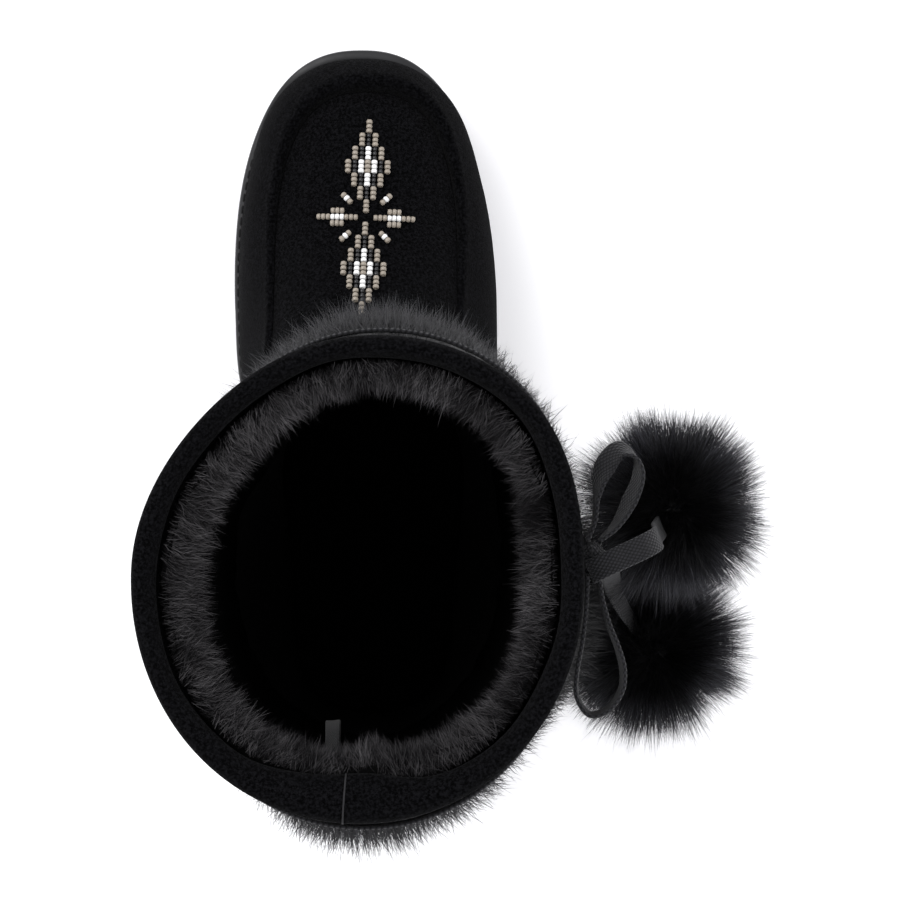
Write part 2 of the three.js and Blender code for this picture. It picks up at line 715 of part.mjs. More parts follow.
piece("outsole", outsole(), rubber);
piece("insole", insole(), fleece);
piece("upper", upper(), suede);
piece("foot_wrap", footWrap(), suede);
piece("collar", collarBand(), suede);
piece("lining", lining(), fleece);
piece("fur_band", furBand(), fur);
piece("lace_wrap", laceWrap(), braid);
piece("bow_knot", bowKnot(), braid);
piece("bow_loop_front", strip(bowFront, { ...lace, standing: true, steps: 14 }), braid);
piece("bow_loop_back", strip(bowBack, { ...lace, standing: true, steps: 14 }), braid);
piece("lace_end_front", strip(endFront, { ...lace, standing: false, steps: 10 }), braid);
piece("lace_end_back", strip(endBack, { ...lace, standing: false, steps: 10 }), braid);
for (const { name, x, y, z } of pompoms) piece(name, pompomBall(), fur).position.set(x, y, z);
piece(
  "pull_loop",
  strip(ribbonPath.map(([y, z]) => [ribbon.x, y, z]), { ...ribbon, standing: true, steps: 8 }),
  braid,
);
const beadHeights = upperHeights.filter((h) => h >= vampHeights.from && h <= vampHeights.to);
const beadCover = solidOf(wallBetween(gap, gap + bead.height, beadHeights));
for (const panel of beadMotifs) piece(panel.name, beadPanel(beadCover, panel), glassBead);

export default boot;
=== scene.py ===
import math

import bpy
import numpy as np
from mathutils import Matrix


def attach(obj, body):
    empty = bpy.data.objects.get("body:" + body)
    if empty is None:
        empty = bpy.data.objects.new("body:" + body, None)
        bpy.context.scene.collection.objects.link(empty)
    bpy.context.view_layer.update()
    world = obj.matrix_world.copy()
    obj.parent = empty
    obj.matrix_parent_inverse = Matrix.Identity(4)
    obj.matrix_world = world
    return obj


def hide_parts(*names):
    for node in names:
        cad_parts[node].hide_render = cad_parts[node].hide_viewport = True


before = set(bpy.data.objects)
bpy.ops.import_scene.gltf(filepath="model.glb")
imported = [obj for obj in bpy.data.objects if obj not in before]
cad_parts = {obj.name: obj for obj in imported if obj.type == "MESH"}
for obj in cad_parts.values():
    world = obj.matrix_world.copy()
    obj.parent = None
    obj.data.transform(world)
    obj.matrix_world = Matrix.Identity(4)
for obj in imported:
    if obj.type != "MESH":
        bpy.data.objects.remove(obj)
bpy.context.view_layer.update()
mm = 0.001  # the tables below are in millimetres, and every mesh is in metres

# Form of the boot

boot = {
    "heelBack": -55.0,
    "toeTip": 220.0,
    "shaftTop": 308.0,
    "wall": 3.0,
    "featherHeight": 22.0,  # middle height of the line where upper and sole meet
    "springFade": 110.0,  # height at which the upper no longer follows that line
    "lastHeel": -49.2,
    "lastToe": 210.8,
    "heelRoundStart": -12.0,
    "toeRoundStart": 116.0,
    "footPower": 2.4,
    "legPower": 2.05,
    "legSkew": 10.0,
    "skewPeak": 0.8,
    "blendPower": 9.0,
}
footSections = {
    "along": [-55, -12, 20, 55, 90, 116, 140, 165, 213],
    "shift": [0.6, 0.8, 1.6, 1.2, -0.8, -1.4, -2, -2.6, -3.4],
    "half": [34.8, 34.8, 36.8, 41.2, 46.7, 47.6, 47.6, 47.6, 47.6],
    "top": [148, 144, 132, 108, 80.6, 62.2, 50.8, 44.4, 45.4],
}
legSections = {
    "height": [22, 70, 110, 150, 200, 265, 310],
    "middleX": [0, 0.3, 1, 2, 3.4, 4.4, 2.4],
    "middleY": [5, 10, 17, 18.5, 18, 17, 18],
    "halfWidth": [24, 35, 49, 56, 59.5, 62, 71],
    "halfLength": [40, 54, 65, 70, 73.5, 76.5, 76],
}
soleLines = {
    "along": [-55, -44, -10, 28, 50, 74, 104, 134, 175, 220],
    "tread": [3, 0, 0, 0, 3.6, 0, 0, 0, 3.5, 12],
    "feather": [25, 24.5, 24, 22.5, 20, 18, 17, 17.5, 20.5, 27],
}


def smoothColumn(table, by, name):  # cubic through a table's rows, sampled finely, level past its ends
    x, v = np.array(table[by], float), np.array(table[name], float)
    slope = np.empty_like(v)
    slope[1:-1] = (v[2:] - v[:-2]) / (x[2:] - x[:-2])
    slope[0], slope[-1] = (v[1] - v[0]) / (x[1] - x[0]), (v[-1] - v[-2]) / (x[-1] - x[-2])
    fine = np.linspace(x[0], x[-1], 1200)
    i = np.clip(np.searchsorted(x, fine, side="right") - 1, 0, len(x) - 2)
    span = x[i + 1] - x[i]
    t = (fine - x[i]) / span
    bend = v[i] + (v[i + 1] - v[i]) * t * t * (3 - 2 * t)
    values = bend + span * (t * (1 - t) ** 2 * slope[i] + t * t * (t - 1) * slope[i + 1])
    return lambda at: np.interp(at, fine, values)


def smoothColumns(table):  # one curve for each further column, by the first
    by, *names = table
    return [smoothColumn(table, by, name) for name in names]


footShift, footHalf, footTop = smoothColumns(footSections)
legMiddleX, legMiddleY, legHalfWidth, legHalfLength = smoothColumns(legSections)
treadRaw, featherAt = smoothColumns(soleLines)


def treadAt(y):
    return np.maximum(treadRaw(y), 0)


def smoothStep(x, start, end):
    t = np.clip((x - start) / (end - start), 0, 1)
    return t * t * (3 - 2 * t)


def bell(x):  # 1 in the middle, and near 0 from 2 on each side
    return np.exp(-(x**2))


def roundEnds(y, toe, heel):  # 0 along the middle of the foot, growing to 1 at the tip and at the back
    toeStart, heelStart = boot["toeRoundStart"], boot["heelRoundStart"]
    front = np.maximum((y - toeStart) / (toe - toeStart), 0)
    return front + np.maximum((heelStart - y) / (heelStart - heel), 0)


def footLevel(x, y, z):  # super-ellipsoid: 1 on the foot's surface, less inside
    n = boot["footPower"]
    across = np.abs(x - footShift(y)) / footHalf(y)
    up = np.maximum(z - boot["featherHeight"], 0) / footTop(y)
    ends = roundEnds(y, boot["lastToe"], boot["lastHeel"])
    return (across**n + up**n + ends**n) ** (1 / n)


def legLevel(x, y, z):  # near-ellipse at each height, its front leaning to the outer side
    n = boot["legPower"]
    along = (y - legMiddleY(z)) / legHalfLength(z)
    front = np.clip(along, 0, 1) ** 2
    lean = boot["legSkew"] * front * (2 * boot["skewPeak"] - front)
    across = (x - legMiddleX(z) - lean) / legHalfWidth(z)
    return (np.abs(across) ** n + np.abs(along) ** n) ** (1 / n)


def bootLevel(x, y, z):  # the two joined with a soft throat
    n = boot["blendPower"]
    foot, leg = np.maximum(footLevel(x, y, z), 0.05), np.maximum(legLevel(x, y, z), 0.05)
    return (foot**-n + leg**-n) ** (-1 / n)


def slopeAt(p):  # central differences of bootLevel
    h = 0.5
    x, y, z = p[..., 0], p[..., 1], p[..., 2]
    gx = bootLevel(x + h, y, z) - bootLevel(x - h, y, z)
    gy = bootLevel(x, y + h, z) - bootLevel(x, y - h, z)
    gz = bootLevel(x, y, z + h) - bootLevel(x, y, z - h)
    return np.stack([gx, gy, gz], -1) / (2 * h)


def unit(v):
    return v / np.maximum(np.linalg.norm(v, axis=-1, keepdims=True), 1e-9)


def facingAt(p):  # direction the surface faces, level above the throat
    slope = slopeAt(p)
    slope[..., 2] *= 1 - smoothStep(p[..., 2], boot["springFade"] - 6, boot["springFade"] + 6)
    return unit(slope)


def springUp(p):  # low down, heights follow the feather line
    low = np.clip((boot["springFade"] - p[..., 2]) / (boot["springFade"] - boot["featherHeight"]), 0, 1)
    lift = (featherAt(p[..., 1]) - boot["featherHeight"]) * low * low * (3 - 2 * low)
    return np.stack([p[..., 0], p[..., 1], p[..., 2] + lift], -1)


def halve(outside, near, far, rounds=24):  # root of a rising test by halving, for whole arrays
    for _ in range(rounds):
        middle = (near + far) / 2
        out = outside(middle)
        near, far = np.where(out, near, middle), np.where(out, middle, far)
    return near


def runAlong(line):  # length along a line of points, up to each of them
    return np.concatenate([[0], np.cumsum(np.linalg.norm(np.diff(line, axis=0), axis=1))])


def alongLine(line, run, want):  # points of a line at wanted lengths
    return np.stack([np.interp(want, run, column) for column in line.T], -1)


def evenLoop(points, count):  # closed loop from the back, its two sides each spread evenly by length
    half = len(points) // 2
    loop = np.vstack([points, points[:1]])
    run = runAlong(loop)
    share = np.arange(count // 2) / (count // 2)
    want = np.concatenate([run[half] * share, run[half] + (run[-1] - run[half]) * share])
    return alongLine(loop, run, want)


def bootSections(heights, count):  # level sections: rays from a middle end where bootLevel is 1
    z = np.asarray(heights, float)[:, None]
    low = np.clip((boot["springFade"] - z) / (boot["springFade"] - boot["featherHeight"]), 0, 1)
    angle = (np.arange(720) / 720 * 2 * math.pi - math.pi / 2)[None]
    midX, midY = 0.6, 18 + 42 * low * low
    flat = np.zeros((len(z), 720))

    def pointsAt(r):
        return midX + r * np.cos(angle), midY + r * np.sin(angle), z + flat

    r = halve(lambda s: bootLevel(*pointsAt(s)) > 1, flat, flat + 260)
    loops = np.stack(pointsAt(r), -1)
    return np.stack([evenLoop(loop, count) for loop in loops])


def bootRings(heights, offsets, count, relief=None):  # sections moved out along their facing, then sprung
    rows = bootSections(heights, count)
    face = facingAt(rows)
    out = np.asarray(offsets, float)
    out = np.broadcast_to(out if out.ndim == 2 else out[:, None], rows.shape[:2])
    if relief is not None:
        out = out + relief(rows)
    return springUp(rows + face * out[..., None])


def ontoBoot(p, rounds=10):  # slides points along the slope onto the surface
    for _ in range(rounds):
        slope = slopeAt(p)
        level = bootLevel(p[..., 0], p[..., 1], p[..., 2]) - 1
        p = p - slope * (level / np.maximum((slope**2).sum(-1), 1e-8))[..., None]
    return p


def vampTop(x, y, high=172.0):  # height of the surface over a place on the vamp
    low = np.full(np.shape(x), boot["featherHeight"])
    return halve(lambda z: bootLevel(x, y, z) > 1, low, 0 * low + high)


def ripple(p, size, seed):  # uneven field: nine sines along seeded directions, about size between crests
    rng = np.random.default_rng(seed)
    waves = 9
    way = unit(rng.normal(size=(waves, 3))) / (size * rng.uniform(0.7, 1.5, (waves, 1)))
    phase = rng.uniform(0, 2 * math.pi, waves)
    return np.sin(p @ way.T * 2 * math.pi + phase).sum(-1) / math.sqrt(waves)


# Meshes


def gridFaces(rows, columns, up=False):  # quads of a grid closed round, with up also from last row to first
    r = np.arange(rows if up else rows - 1)[:, None]
    c = np.arange(columns)[None]
    r2, c2 = (r + 1) % rows, (c + 1) % columns
    quads = [r * columns + c, r * columns + c2, r2 * columns + c2, r2 * columns + c]
    return np.stack(quads, -1).reshape(-1, 4)


def acrossFaces(start, count, turned):  # closes a ring by quads from each side to the other
    i = np.arange(1, count // 2 - 1)
    quads = np.stack([i, i + 1, count - i - 1, count - i], -1)
    tips = np.array([[0, 1, count - 1], [count // 2 - 1, count // 2, count // 2 + 1]])
    if turned:
        quads, tips = quads[:, ::-1], tips[:, ::-1]
    return quads + start, tips + start


def endCaps(rows, columns):  # closes the first and the last ring of a grid by one face each
    ring = np.arange(columns)[None]
    return [ring[:, ::-1], ring + (rows - 1) * columns]


def closedGrid(rows, columns):  # a grid with its first and last ring closed across
    last = acrossFaces((rows - 1) * columns, columns, False)
    return [gridFaces(rows, columns), *acrossFaces(0, columns, True), *last]


def makePiece(name, points, faces, material, replaced=None, uv=None, shade=None):
    points = np.asarray(points, float).reshape(-1, 3)
    corners = np.concatenate([f.ravel() for f in faces]).astype(np.int32)
    sizes = np.concatenate([np.full(len(f), f.shape[1]) for f in faces])
    mesh = bpy.data.meshes.new(name)
    mesh.vertices.add(len(points))
    mesh.vertices.foreach_set("co", (points * mm).astype(np.float32).ravel())
    mesh.loops.add(len(corners))
    mesh.loops.foreach_set("vertex_index", corners)
    mesh.polygons.add(len(sizes))
    starts = np.concatenate([[0], np.cumsum(sizes)[:-1]])
    mesh.polygons.foreach_set("loop_start", starts.astype(np.int32))
    mesh.polygons.foreach_set("use_smooth", np.ones(len(sizes), bool))
    if uv is not None:  # one pair for each point
        layer = mesh.uv_layers.new(name="UVMap")
        layer.data.foreach_set("uv", np.asarray(uv, np.float32).reshape(-1, 2)[corners].ravel())
    if shade is not None:  # one number for each point, which the material reads
        layer = mesh.attributes.new("shade", "FLOAT", "POINT")
        layer.data.foreach_set("value", np.asarray(shade, np.float32).ravel())
    mesh.update(calc_edges=True)
    mesh.validate()
    piece = bpy.data.objects.new(name, mesh)
    bpy.context.scene.collection.objects.link(piece)
    mesh.materials.append(material)
    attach(piece, "root")
    if replaced:
        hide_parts(replaced)
    print(f"{name}: {int((sizes - 2).sum())} triangles")
    return piece


def copies(shape, faces, places, frames):  # one small shape set many times: frames turn it, places move it
    points = np.einsum("pk,nkj->npj", shape, frames) + places[:, None]
    step = (np.arange(len(places)) * len(shape))[:, None, None]
    return points.reshape(-1, 3), [(f[None] + step).reshape(-1, f.shape[1]) for f in faces]


def hairs(roots, ways, lengths, widths, bend, seed, steps, curl, dim):
    # a hair is a tapering ribbon: root + way * t + bend * t squared, with a curl of sines to each side
    rng = np.random.default_rng(seed)
    n = len(roots)
    t = np.linspace(0, 1, steps + 1)
    side = unit(np.cross(ways, rng.normal(size=(n, 3))))
    other = np.cross(unit(ways), side)
    turn = rng.uniform(0, 2 * math.pi, (n, 1)) + t[None] * rng.uniform(2.5, 6.0, (n, 1))
    reach = (lengths[:, None] * t)[..., None]
    line = roots[:, None] + (ways[:, None] + bend[:, None] * t[None, :, None]) * reach
    sway = (np.sin(turn) - np.sin(turn[:, :1]))[..., None] * side[:, None]
    sway = sway + (np.cos(turn) - np.cos(turn[:, :1]))[..., None] * other[:, None]
    line = line + sway * curl * lengths[:, None, None]
    half = (widths[:, None] * (1 - 0.75 * t[None, :-1]) / 2)[..., None] * side[:, None]
    body = np.stack([line[:, :-1] - half, line[:, :-1] + half], 2).reshape(n, -1, 3)
    points = np.concatenate([body, line[:, -1:]], 1)
    each = 2 * steps + 1
    start = (np.arange(n) * each)[:, None, None]
    j = 2 * np.arange(steps - 1)
    quads = np.stack([j, j + 1, j + 3, j + 2], -1)[None] + start
    tips = np.array([[2 * steps - 2, 2 * steps - 1, 2 * steps]])[None] + start
    tone = rng.uniform(0, 1, (n, 1))
    along = np.concatenate([np.repeat(t[:-1], 2), t[-1:]])[None]
    shade = np.clip((0.62 * tone + 0.38 * along) * dim[:, None], 0, 1)  # lighter towards the tip
    return points.reshape(-1, 3), [quads.reshape(-1, 4), tips.reshape(-1, 3)], shade.ravel()


def gatherTips(roots, ways, lengths, locks, share, seed):  # each tip is drawn to its nearest leader's
    lead = np.random.default_rng(seed).choice(len(roots), locks, replace=False)
    parts = np.array_split(roots, 40)
    near = np.concatenate([((part[:, None] - roots[lead][None]) ** 2).sum(-1).argmin(1) for part in parts])
    tips = roots + ways * lengths[:, None]
    reach = tips * (1 - share) + tips[lead][near] * share - roots
    return unit(reach), np.linalg.norm(reach, axis=-1)


def joined(*parts):  # several (points, faces, shade) as one
    points, faces, shade, start = [], [], [], 0
    for p, f, s in parts:
        points.append(p)
        faces += [one + start for one in f]
        shade.append(np.broadcast_to(s, len(p)))
        start += len(p)
    return np.vstack(points), faces, np.concatenate(shade)


# Materials


def newMaterial(name, **fixed):  # a shader with its fixed numbers set on its own sockets
    material = bpy.data.materials.new(name)
    material.use_nodes = True
    shader = material.node_tree.nodes["Principled BSDF"]
    for key, value in fixed.items():
        shader.inputs[key.replace("_", " ")].default_value = value
    return material, material.node_tree, shader


def feed(tree, socket, value):  # a socket takes a link or a number
    if isinstance(value, bpy.types.NodeSocket):
        tree.links.new(value, socket)
    else:
        socket.default_value = value


def addNode(tree, kind, settings=(), **inputs):
    node = tree.nodes.new(kind)
    for key, value in dict(settings).items():
        setattr(node, key, value)
    for key, value in inputs.items():
        feed(tree, node.inputs[key.replace("_", " ")], value)
    return node


def shadeOf(tree):  # the number that each point of a piece carries
    return addNode(tree, "ShaderNodeAttribute", {"attribute_name": "shade"}).outputs["Fac"]


def rampOf(tree, source, stops, blend="LINEAR"):  # number to colour, by stops of (place, colour)
    node = addNode(tree, "ShaderNodeValToRGB", Fac=source)
    node.color_ramp.interpolation = blend
    points = node.color_ramp.elements
    while len(points) < len(stops):
        points.new(0.5)
    for point, (place, colour) in zip(points, stops):
        point.position = place
        point.color = (*colour, 1)
    return node.outputs["Color"]


def grain(tree, scale, detail=4.0, rough=0.6):  # noise on object coordinates, scale per metre
    place = addNode(tree, "ShaderNodeTexCoord").outputs["Object"]
    node = addNode(tree, "ShaderNodeTexNoise", Vector=place, Scale=scale, Detail=detail, Roughness=rough)
    return node.outputs["Fac"]


def bumpInto(tree, shader, height, strength, distance, below=None):
    node = addNode(tree, "ShaderNodeBump", Height=height, Strength=strength, Distance=distance)
    if below is not None:
        tree.links.new(below, node.inputs["Normal"])
    tree.links.new(node.outputs["Normal"], shader.inputs["Normal"])
    return node.outputs["Normal"]


def mathNode(tree, operation, first, second):
    node = addNode(tree, "ShaderNodeMath", {"operation": operation})
    for socket, value in zip(node.inputs, (first, second)):
        feed(tree, socket, value)
    return node.outputs["Value"]


def suedeFinish(name, dark, light):  # black nap: speckles of tone, fine and broad bump, hardly any shine
    fixed = {"Roughness": 1.0, "Sheen_Weight": 0.015, "Sheen_Roughness": 0.5, "Specular_IOR_Level": 0.02}
    material, tree, shader = newMaterial(name, **fixed)
    tone = rampOf(tree, grain(tree, 900, 5, 0.8), [(0.44, dark), (0.6, light)])
    tree.links.new(tone, shader.inputs["Base Color"])
    nap = bumpInto(tree, shader, grain(tree, 1400, 4, 0.7), 0.8, 0.0006)
    bumpInto(tree, shader, grain(tree, 140, 3), 0.12, 0.0012, nap)
    return material


def rubberFinish(name, dark, light, gloss):  # moulded surface: faint mottling of tone and gloss
    material, tree, shader = newMaterial(name, Specular_IOR_Level=0.35)
    tone = rampOf(tree, grain(tree, 60, 4), [(0.3, dark), (0.75, light)])
    tree.links.new(tone, shader.inputs["Base Color"])
    shine = [(place, (value,) * 3) for place, value in zip((0.25, 0.8), gloss)]
    tree.links.new(rampOf(tree, grain(tree, 220, 4), shine), shader.inputs["Roughness"])
    bumpInto(tree, shader, grain(tree, 1500, 3), 0.1, 0.0002)
    return material


def hairFinish(name, stops, gloss, shine):  # tone runs along each hair and differs from hair to hair
    material, tree, shader = newMaterial(name, Roughness=gloss, Specular_IOR_Level=shine)
    tree.links.new(rampOf(tree, shadeOf(tree), stops), shader.inputs["Base Color"])
    return material


def laceFinish(name, dark, light, strand, threads):
    # flat braid by the strip's own UV, length in mm and width from -1 to 1:
    # two slanted sets of waves, multiplied
    material, tree, shader = newMaterial(name, Roughness=0.8, Specular_IOR_Level=0.2, Sheen_Weight=0.1)
    uv = addNode(tree, "ShaderNodeUVMap", {"uv_map": "UVMap"}).outputs["UV"]
    parts = addNode(tree, "ShaderNodeSeparateXYZ", Vector=uv)
    along = mathNode(tree, "MULTIPLY", parts.outputs["X"], math.pi / strand)
    across = mathNode(tree, "MULTIPLY", parts.outputs["Y"], math.pi * threads / 2)
    waves = []
    for slant in ("ADD", "SUBTRACT"):
        wave = mathNode(tree, "SINE", mathNode(tree, slant, along, across), 0)
        waves.append(mathNode(tree, "ABSOLUTE", wave, 0))
    weave = mathNode(tree, "MULTIPLY", *waves)
    tree.links.new(rampOf(tree, weave, [(0.02, dark), (0.75, light)]), shader.inputs["Base Color"])
    fuzz = bumpInto(tree, shader, grain(tree, 4200, 3), 0.3, 0.0002)
    bumpInto(tree, shader, weave, 0.8, 0.0005, fuzz)
    return material


def beadFinish():  # opaque glass in three colours, by the bead's own number
    material, tree, shader = newMaterial("beadGlass", Roughness=0.3, Specular_IOR_Level=0.5, Coat_Weight=0.2)
    colours = [(0.0, (0.006, 0.006, 0.007)), (0.3, (0.31, 0.27, 0.22)), (0.7, (0.93, 0.93, 0.92))]
    tree.links.new(rampOf(tree, shadeOf(tree), colours, "CONSTANT"), shader.inputs["Base Color"])
    return material


suede = suedeFinish("blackSuede", (0.0005, 0.0005, 0.0006), (0.0062, 0.0062, 0.0072))
rubber = rubberFinish("soleRubber", (0.009, 0.009, 0.01), (0.019, 0.019, 0.021), (0.36, 0.55))
furStops = [(0.0, (0.0016, 0.0016, 0.0018)), (0.45, (0.007, 0.007, 0.008)), (1.0, (0.034, 0.033, 0.038))]
pileStops = [(0.0, (0.001, 0.001, 0.001)), (0.4, (0.01, 0.0096, 0.0103)), (1.0, (0.1, 0.096, 0.1))]
pompomStops = [(0.0, (0.0008, 0.0008, 0.001)), (0.45, (0.0095, 0.0095, 0.0115)), (1.0, (0.085, 0.085, 0.1))]
furHair = hairFinish("charcoalFur", furStops, 0.6, 0.16)
pileHair = hairFinish("charcoalPile", pileStops, 0.9, 0.03)
pompomHair = hairFinish("blackFur", pompomStops, 0.48, 0.32)
braid = laceFinish("charcoalBraid", (0.003, 0.003, 0.0035), (0.019, 0.019, 0.022), 1.9, 6)
ribbonWeave = laceFinish("darkRibbon", (0.001, 0.001, 0.0012), (0.0075, 0.0075, 0.0085), 1.0, 8)
beadGlass = beadFinish()
seamThread = rubberFinish("greyThread", (0.008, 0.008, 0.009), (0.02, 0.02, 0.022), (0.7, 0.9))
thread = rubberFinish("blackThread", (0.001, 0.001, 0.001), (0.004, 0.004, 0.0045), (0.7, 0.9))
print("materials made")

# Camera, light and floor

photoView = {"place": (0.032, 0.0593, 1.380), "lens": 134.24, "sensor": 36.0}
lampsAim = (0.02, 0.06, 0.15)
lamps = [  # the key comes from the upper left of the photo
    {"name": "key", "place": (-0.75, 0.75, 1.35), "size": 0.9, "watts": 13.0},
    {"name": "fill", "place": (0.9, -0.5, 1.3), "size": 1.4, "watts": 5.0},
]


def studio():
    scene = bpy.context.scene
    camera = bpy.data.objects.new("photoCamera", bpy.data.cameras.new("photoCamera"))
    camera.location = photoView["place"]
    camera.data.lens, camera.data.sensor_width = photoView["lens"], photoView["sensor"]
    scene.collection.objects.link(camera)
    scene.camera = camera
    for lamp in lamps:
        light = bpy.data.lights.new(lamp["name"], "AREA")
        light.size, light.energy = lamp["size"], lamp["watts"]
        holder = bpy.data.objects.new(lamp["name"], light)
        holder.location = lamp["place"]
        target = np.array(lampsAim) - np.array(lamp["place"])
        holder.rotation_euler = (
            math.acos(-target[2] / np.linalg.norm(target)),
            0,
            math.atan2(target[1], target[0]) - math.pi / 2,
        )
        scene.collection.objects.link(holder)
    world = bpy.data.worlds.new("studioWorld")
    world.use_nodes = True
    world.node_tree.nodes["Background"].inputs["Color"].default_value = (0.97, 0.97, 1, 1)
    world.node_tree.nodes["Background"].inputs["Strength"].default_value = 0.98
    scene.world = world
    scene.view_settings.view_transform = "Standard"
    # it glows a little, because the photo's paper stays white in the shade
    glow = {"Emission_Color": (1, 0.99, 1, 1), "Emission_Strength": 0.24}
    paper, tree, shader = newMaterial("whiteFloor", Base_Color=(0.93, 0.93, 0.94, 1), Roughness=0.8, **glow)
    bumpInto(tree, shader, grain(tree, 90, 2), 0.02, 0.0005)
    mesh = bpy.data.meshes.new("floor")
    mesh.from_pydata([(-4, -4, 0), (4, -4, 0), (4, 4, 0), (-4, 4, 0)], [], [(0, 1, 2, 3)])
    mesh.materials.append(paper)
    floor = bpy.data.objects.new("floor", mesh)
    scene.collection.objects.link(floor)
    print("studio set")


studio()

# Lace: band round the leg, bow and two free ends

lace = {
    "width": 8.0,
    "thickness": 1.6,
    "height": 282.5,
    "out": 3.9,  # inner face of the band from the suede
    "columns": 13,
    "step": 0.6,  # along the strip
    "welt": 0.2,  # thicker line near each edge
}
bowFront = [
    [76.8, 29.5, 283], [79.2, 36, 283], [80.2, 45, 283], [82.2, 53, 283], [87.2, 59.3, 283],
    [92.6, 57, 283], [93.6, 50.5, 283], [90.6, 42.5, 283], [86, 34.5, 283], [80.9, 29.6, 283],
]
bowBack = [
    [77, 18.5, 283], [76.6, 9, 283], [75.4, -3, 283], [73.6, -13, 283], [73.4, -21, 283],
    [77.4, -27, 283], [83.4, -25.6, 283], [87.8, -19.6, 283], [88.6, -13, 283], [87, -6, 283],
    [84, 2, 283], [81.8, 10, 283], [80.6, 18.4, 283],
]
endFront = [
    [77.4, 19.4, 286.4], [80.6, 21, 288.4], [84.6, 22.9, 288.2], [88.6, 24.7, 287], [92.6, 26.5, 286.2],
    [96.4, 28.3, 284.8], [99.4, 29.8, 281], [100.6, 30.5, 274], [101, 30.8, 261], [101.8, 31.4, 248],
    [104, 33.2, 236],
]
endBack = [
    [83.4, 23.8, 279.4], [84.8, 20.8, 269], [85.8, 18, 254], [87, 15, 238], [89, 10.6, 221],
    [92.6, 4, 206], [98, -4, 192],
]
# how each strip leans from widthWay towards its right-hand side, by share of its length, in degrees
bowFrontLean = {
    "share": [0, 0.2, 0.27, 0.36, 0.45, 0.53, 0.62, 0.76, 0.9, 1],
    "lean": [0, 4, 22, 60, 50, 8, -22, -36, -14, 0],
}
bowBackLean = {"share": [0, 0.25, 0.42, 0.55, 0.7, 0.85, 1], "lean": [0, 4, 5, 5, 8, 4, 0]}
endBackLean = {"share": [0, 0.3, 0.6, 1], "lean": [50, 30, 24, 20]}
noLean = {"share": [0, 1], "lean": [0, 0]}


def smoothPath(points, step):  # cubic through the points by chord length, then evenly spaced
    p = np.array(points, float)
    run = np.concatenate([[0], np.cumsum(np.linalg.norm(np.diff(p, axis=0), axis=1) ** 0.5)])
    table = {"run": run, "x": p[:, 0], "y": p[:, 1], "z": p[:, 2]}
    fine = np.linspace(0, run[-1], 800)
    line = np.stack([smoothColumn(table, "run", k)(fine) for k in "xyz"], -1)
    length = runAlong(line)
    want = np.linspace(0, length[-1], int(round(length[-1] / step)) + 1)
    return alongLine(line, length, want), length[-1]


def stripSection(size):  # flat oval with a welt near each edge: place across from -1 to 1, and height
    share = np.sin(np.linspace(-math.pi / 2, math.pi / 2, size["columns"]))  # closer together at the edges
    across = np.concatenate([share, share[-2:0:-1]])
    side = np.concatenate([np.ones(len(share)), -np.ones(len(share) - 2)])
    swell = size["thickness"] / 2 - size["welt"] * (1 - bell((np.abs(across) - 0.85) / 0.14))
    return across, side * swell * np.sqrt(np.clip(1 - np.abs(across) ** 8, 0, 1))


def flatStrip(name, points, widthWay, lean, size, material, replaced):
    # the section carried along the path, its width along widthWay leaned over and kept square to the path
    path, length = smoothPath(points, size["step"])
    run = np.linspace(0, length, len(path))
    ahead = unit(np.gradient(path, axis=0))
    angle = np.radians(np.interp(run / length, lean["share"], lean["lean"]))[:, None]
    right = unit(np.cross(ahead, [0, 0, 1.0]))
    wide = np.array(widthWay, float) * np.cos(angle) + right * np.sin(angle)
    wide = unit(wide - (wide * ahead).sum(-1, keepdims=True) * ahead)
    up = np.cross(ahead, wide)
    across, thick = stripSection(size)
    rows = path[:, None] + wide[:, None] * (across * size["width"] / 2)[None, :, None]
    rows = rows + up[:, None] * thick[None, :, None]
    ring = len(across)
    rows = np.concatenate([path[:1, None].repeat(ring, 1), rows, path[-1:, None].repeat(ring, 1)])
    run = np.concatenate([run[:1], run, run[-1:]])
    uv = np.stack(np.broadcast_arrays(run[:, None], across[None]), -1)
    piece = makePiece(name, rows, [gridFaces(len(rows), ring)], material, replaced, uv=uv)
    return piece, path, length


def bowKnot():  # ellipsoid with a pinched waist, the lace wound round it
    centre, half = np.array([78.5, 24.0, 282.5]), np.array([4.1, 5.2, 5.0])
    u = np.linspace(0, 2 * math.pi, 48, endpoint=False)[None]
    v = np.linspace(math.pi - 0.02, 0.02, 32)[:, None]
    way = np.stack([np.sin(u) * np.sin(v), np.cos(v) + 0 * u, np.cos(u) * np.sin(v)], -1)
    fold = 1 - 0.1 * bell(way[..., 1] / 0.2) + 0.04 * ripple(way * 8, 7, 5)
    uv = np.stack(np.broadcast_arrays(u * 5.0, np.cos(v) * 1.1), -1)
    rows = centre + way * half * fold[..., None]
    faces = [gridFaces(32, 48), *endCaps(32, 48)]
    return makePiece("bowKnotBraid", rows, faces, braid, "bow_knot", uv=uv)


def laceBand():  # the same section carried round the leg under the collar
    count = 560
    base = bootRings([lace["height"]], [lace["out"] + lace["thickness"] / 2], count)[0]
    out = np.cross(unit(np.roll(base, -1, 0) - np.roll(base, 1, 0)), [0, 0, 1.0])
    across, thick = stripSection(lace)
    run = runAlong(base)
    rows = base[:, None] + np.array([0, 0, 1.0]) * (across * lace["width"] / 2)[None, :, None]
    rows = rows + out[:, None] * thick[None, :, None]
    uv = np.stack(np.broadcast_arrays(run[:, None], across[None]), -1)
    faces = gridFaces(count, len(across), up=True)[:, ::-1]
    return makePiece("laceBandBraid", rows, [faces], braid, "lace_wrap", uv=uv)


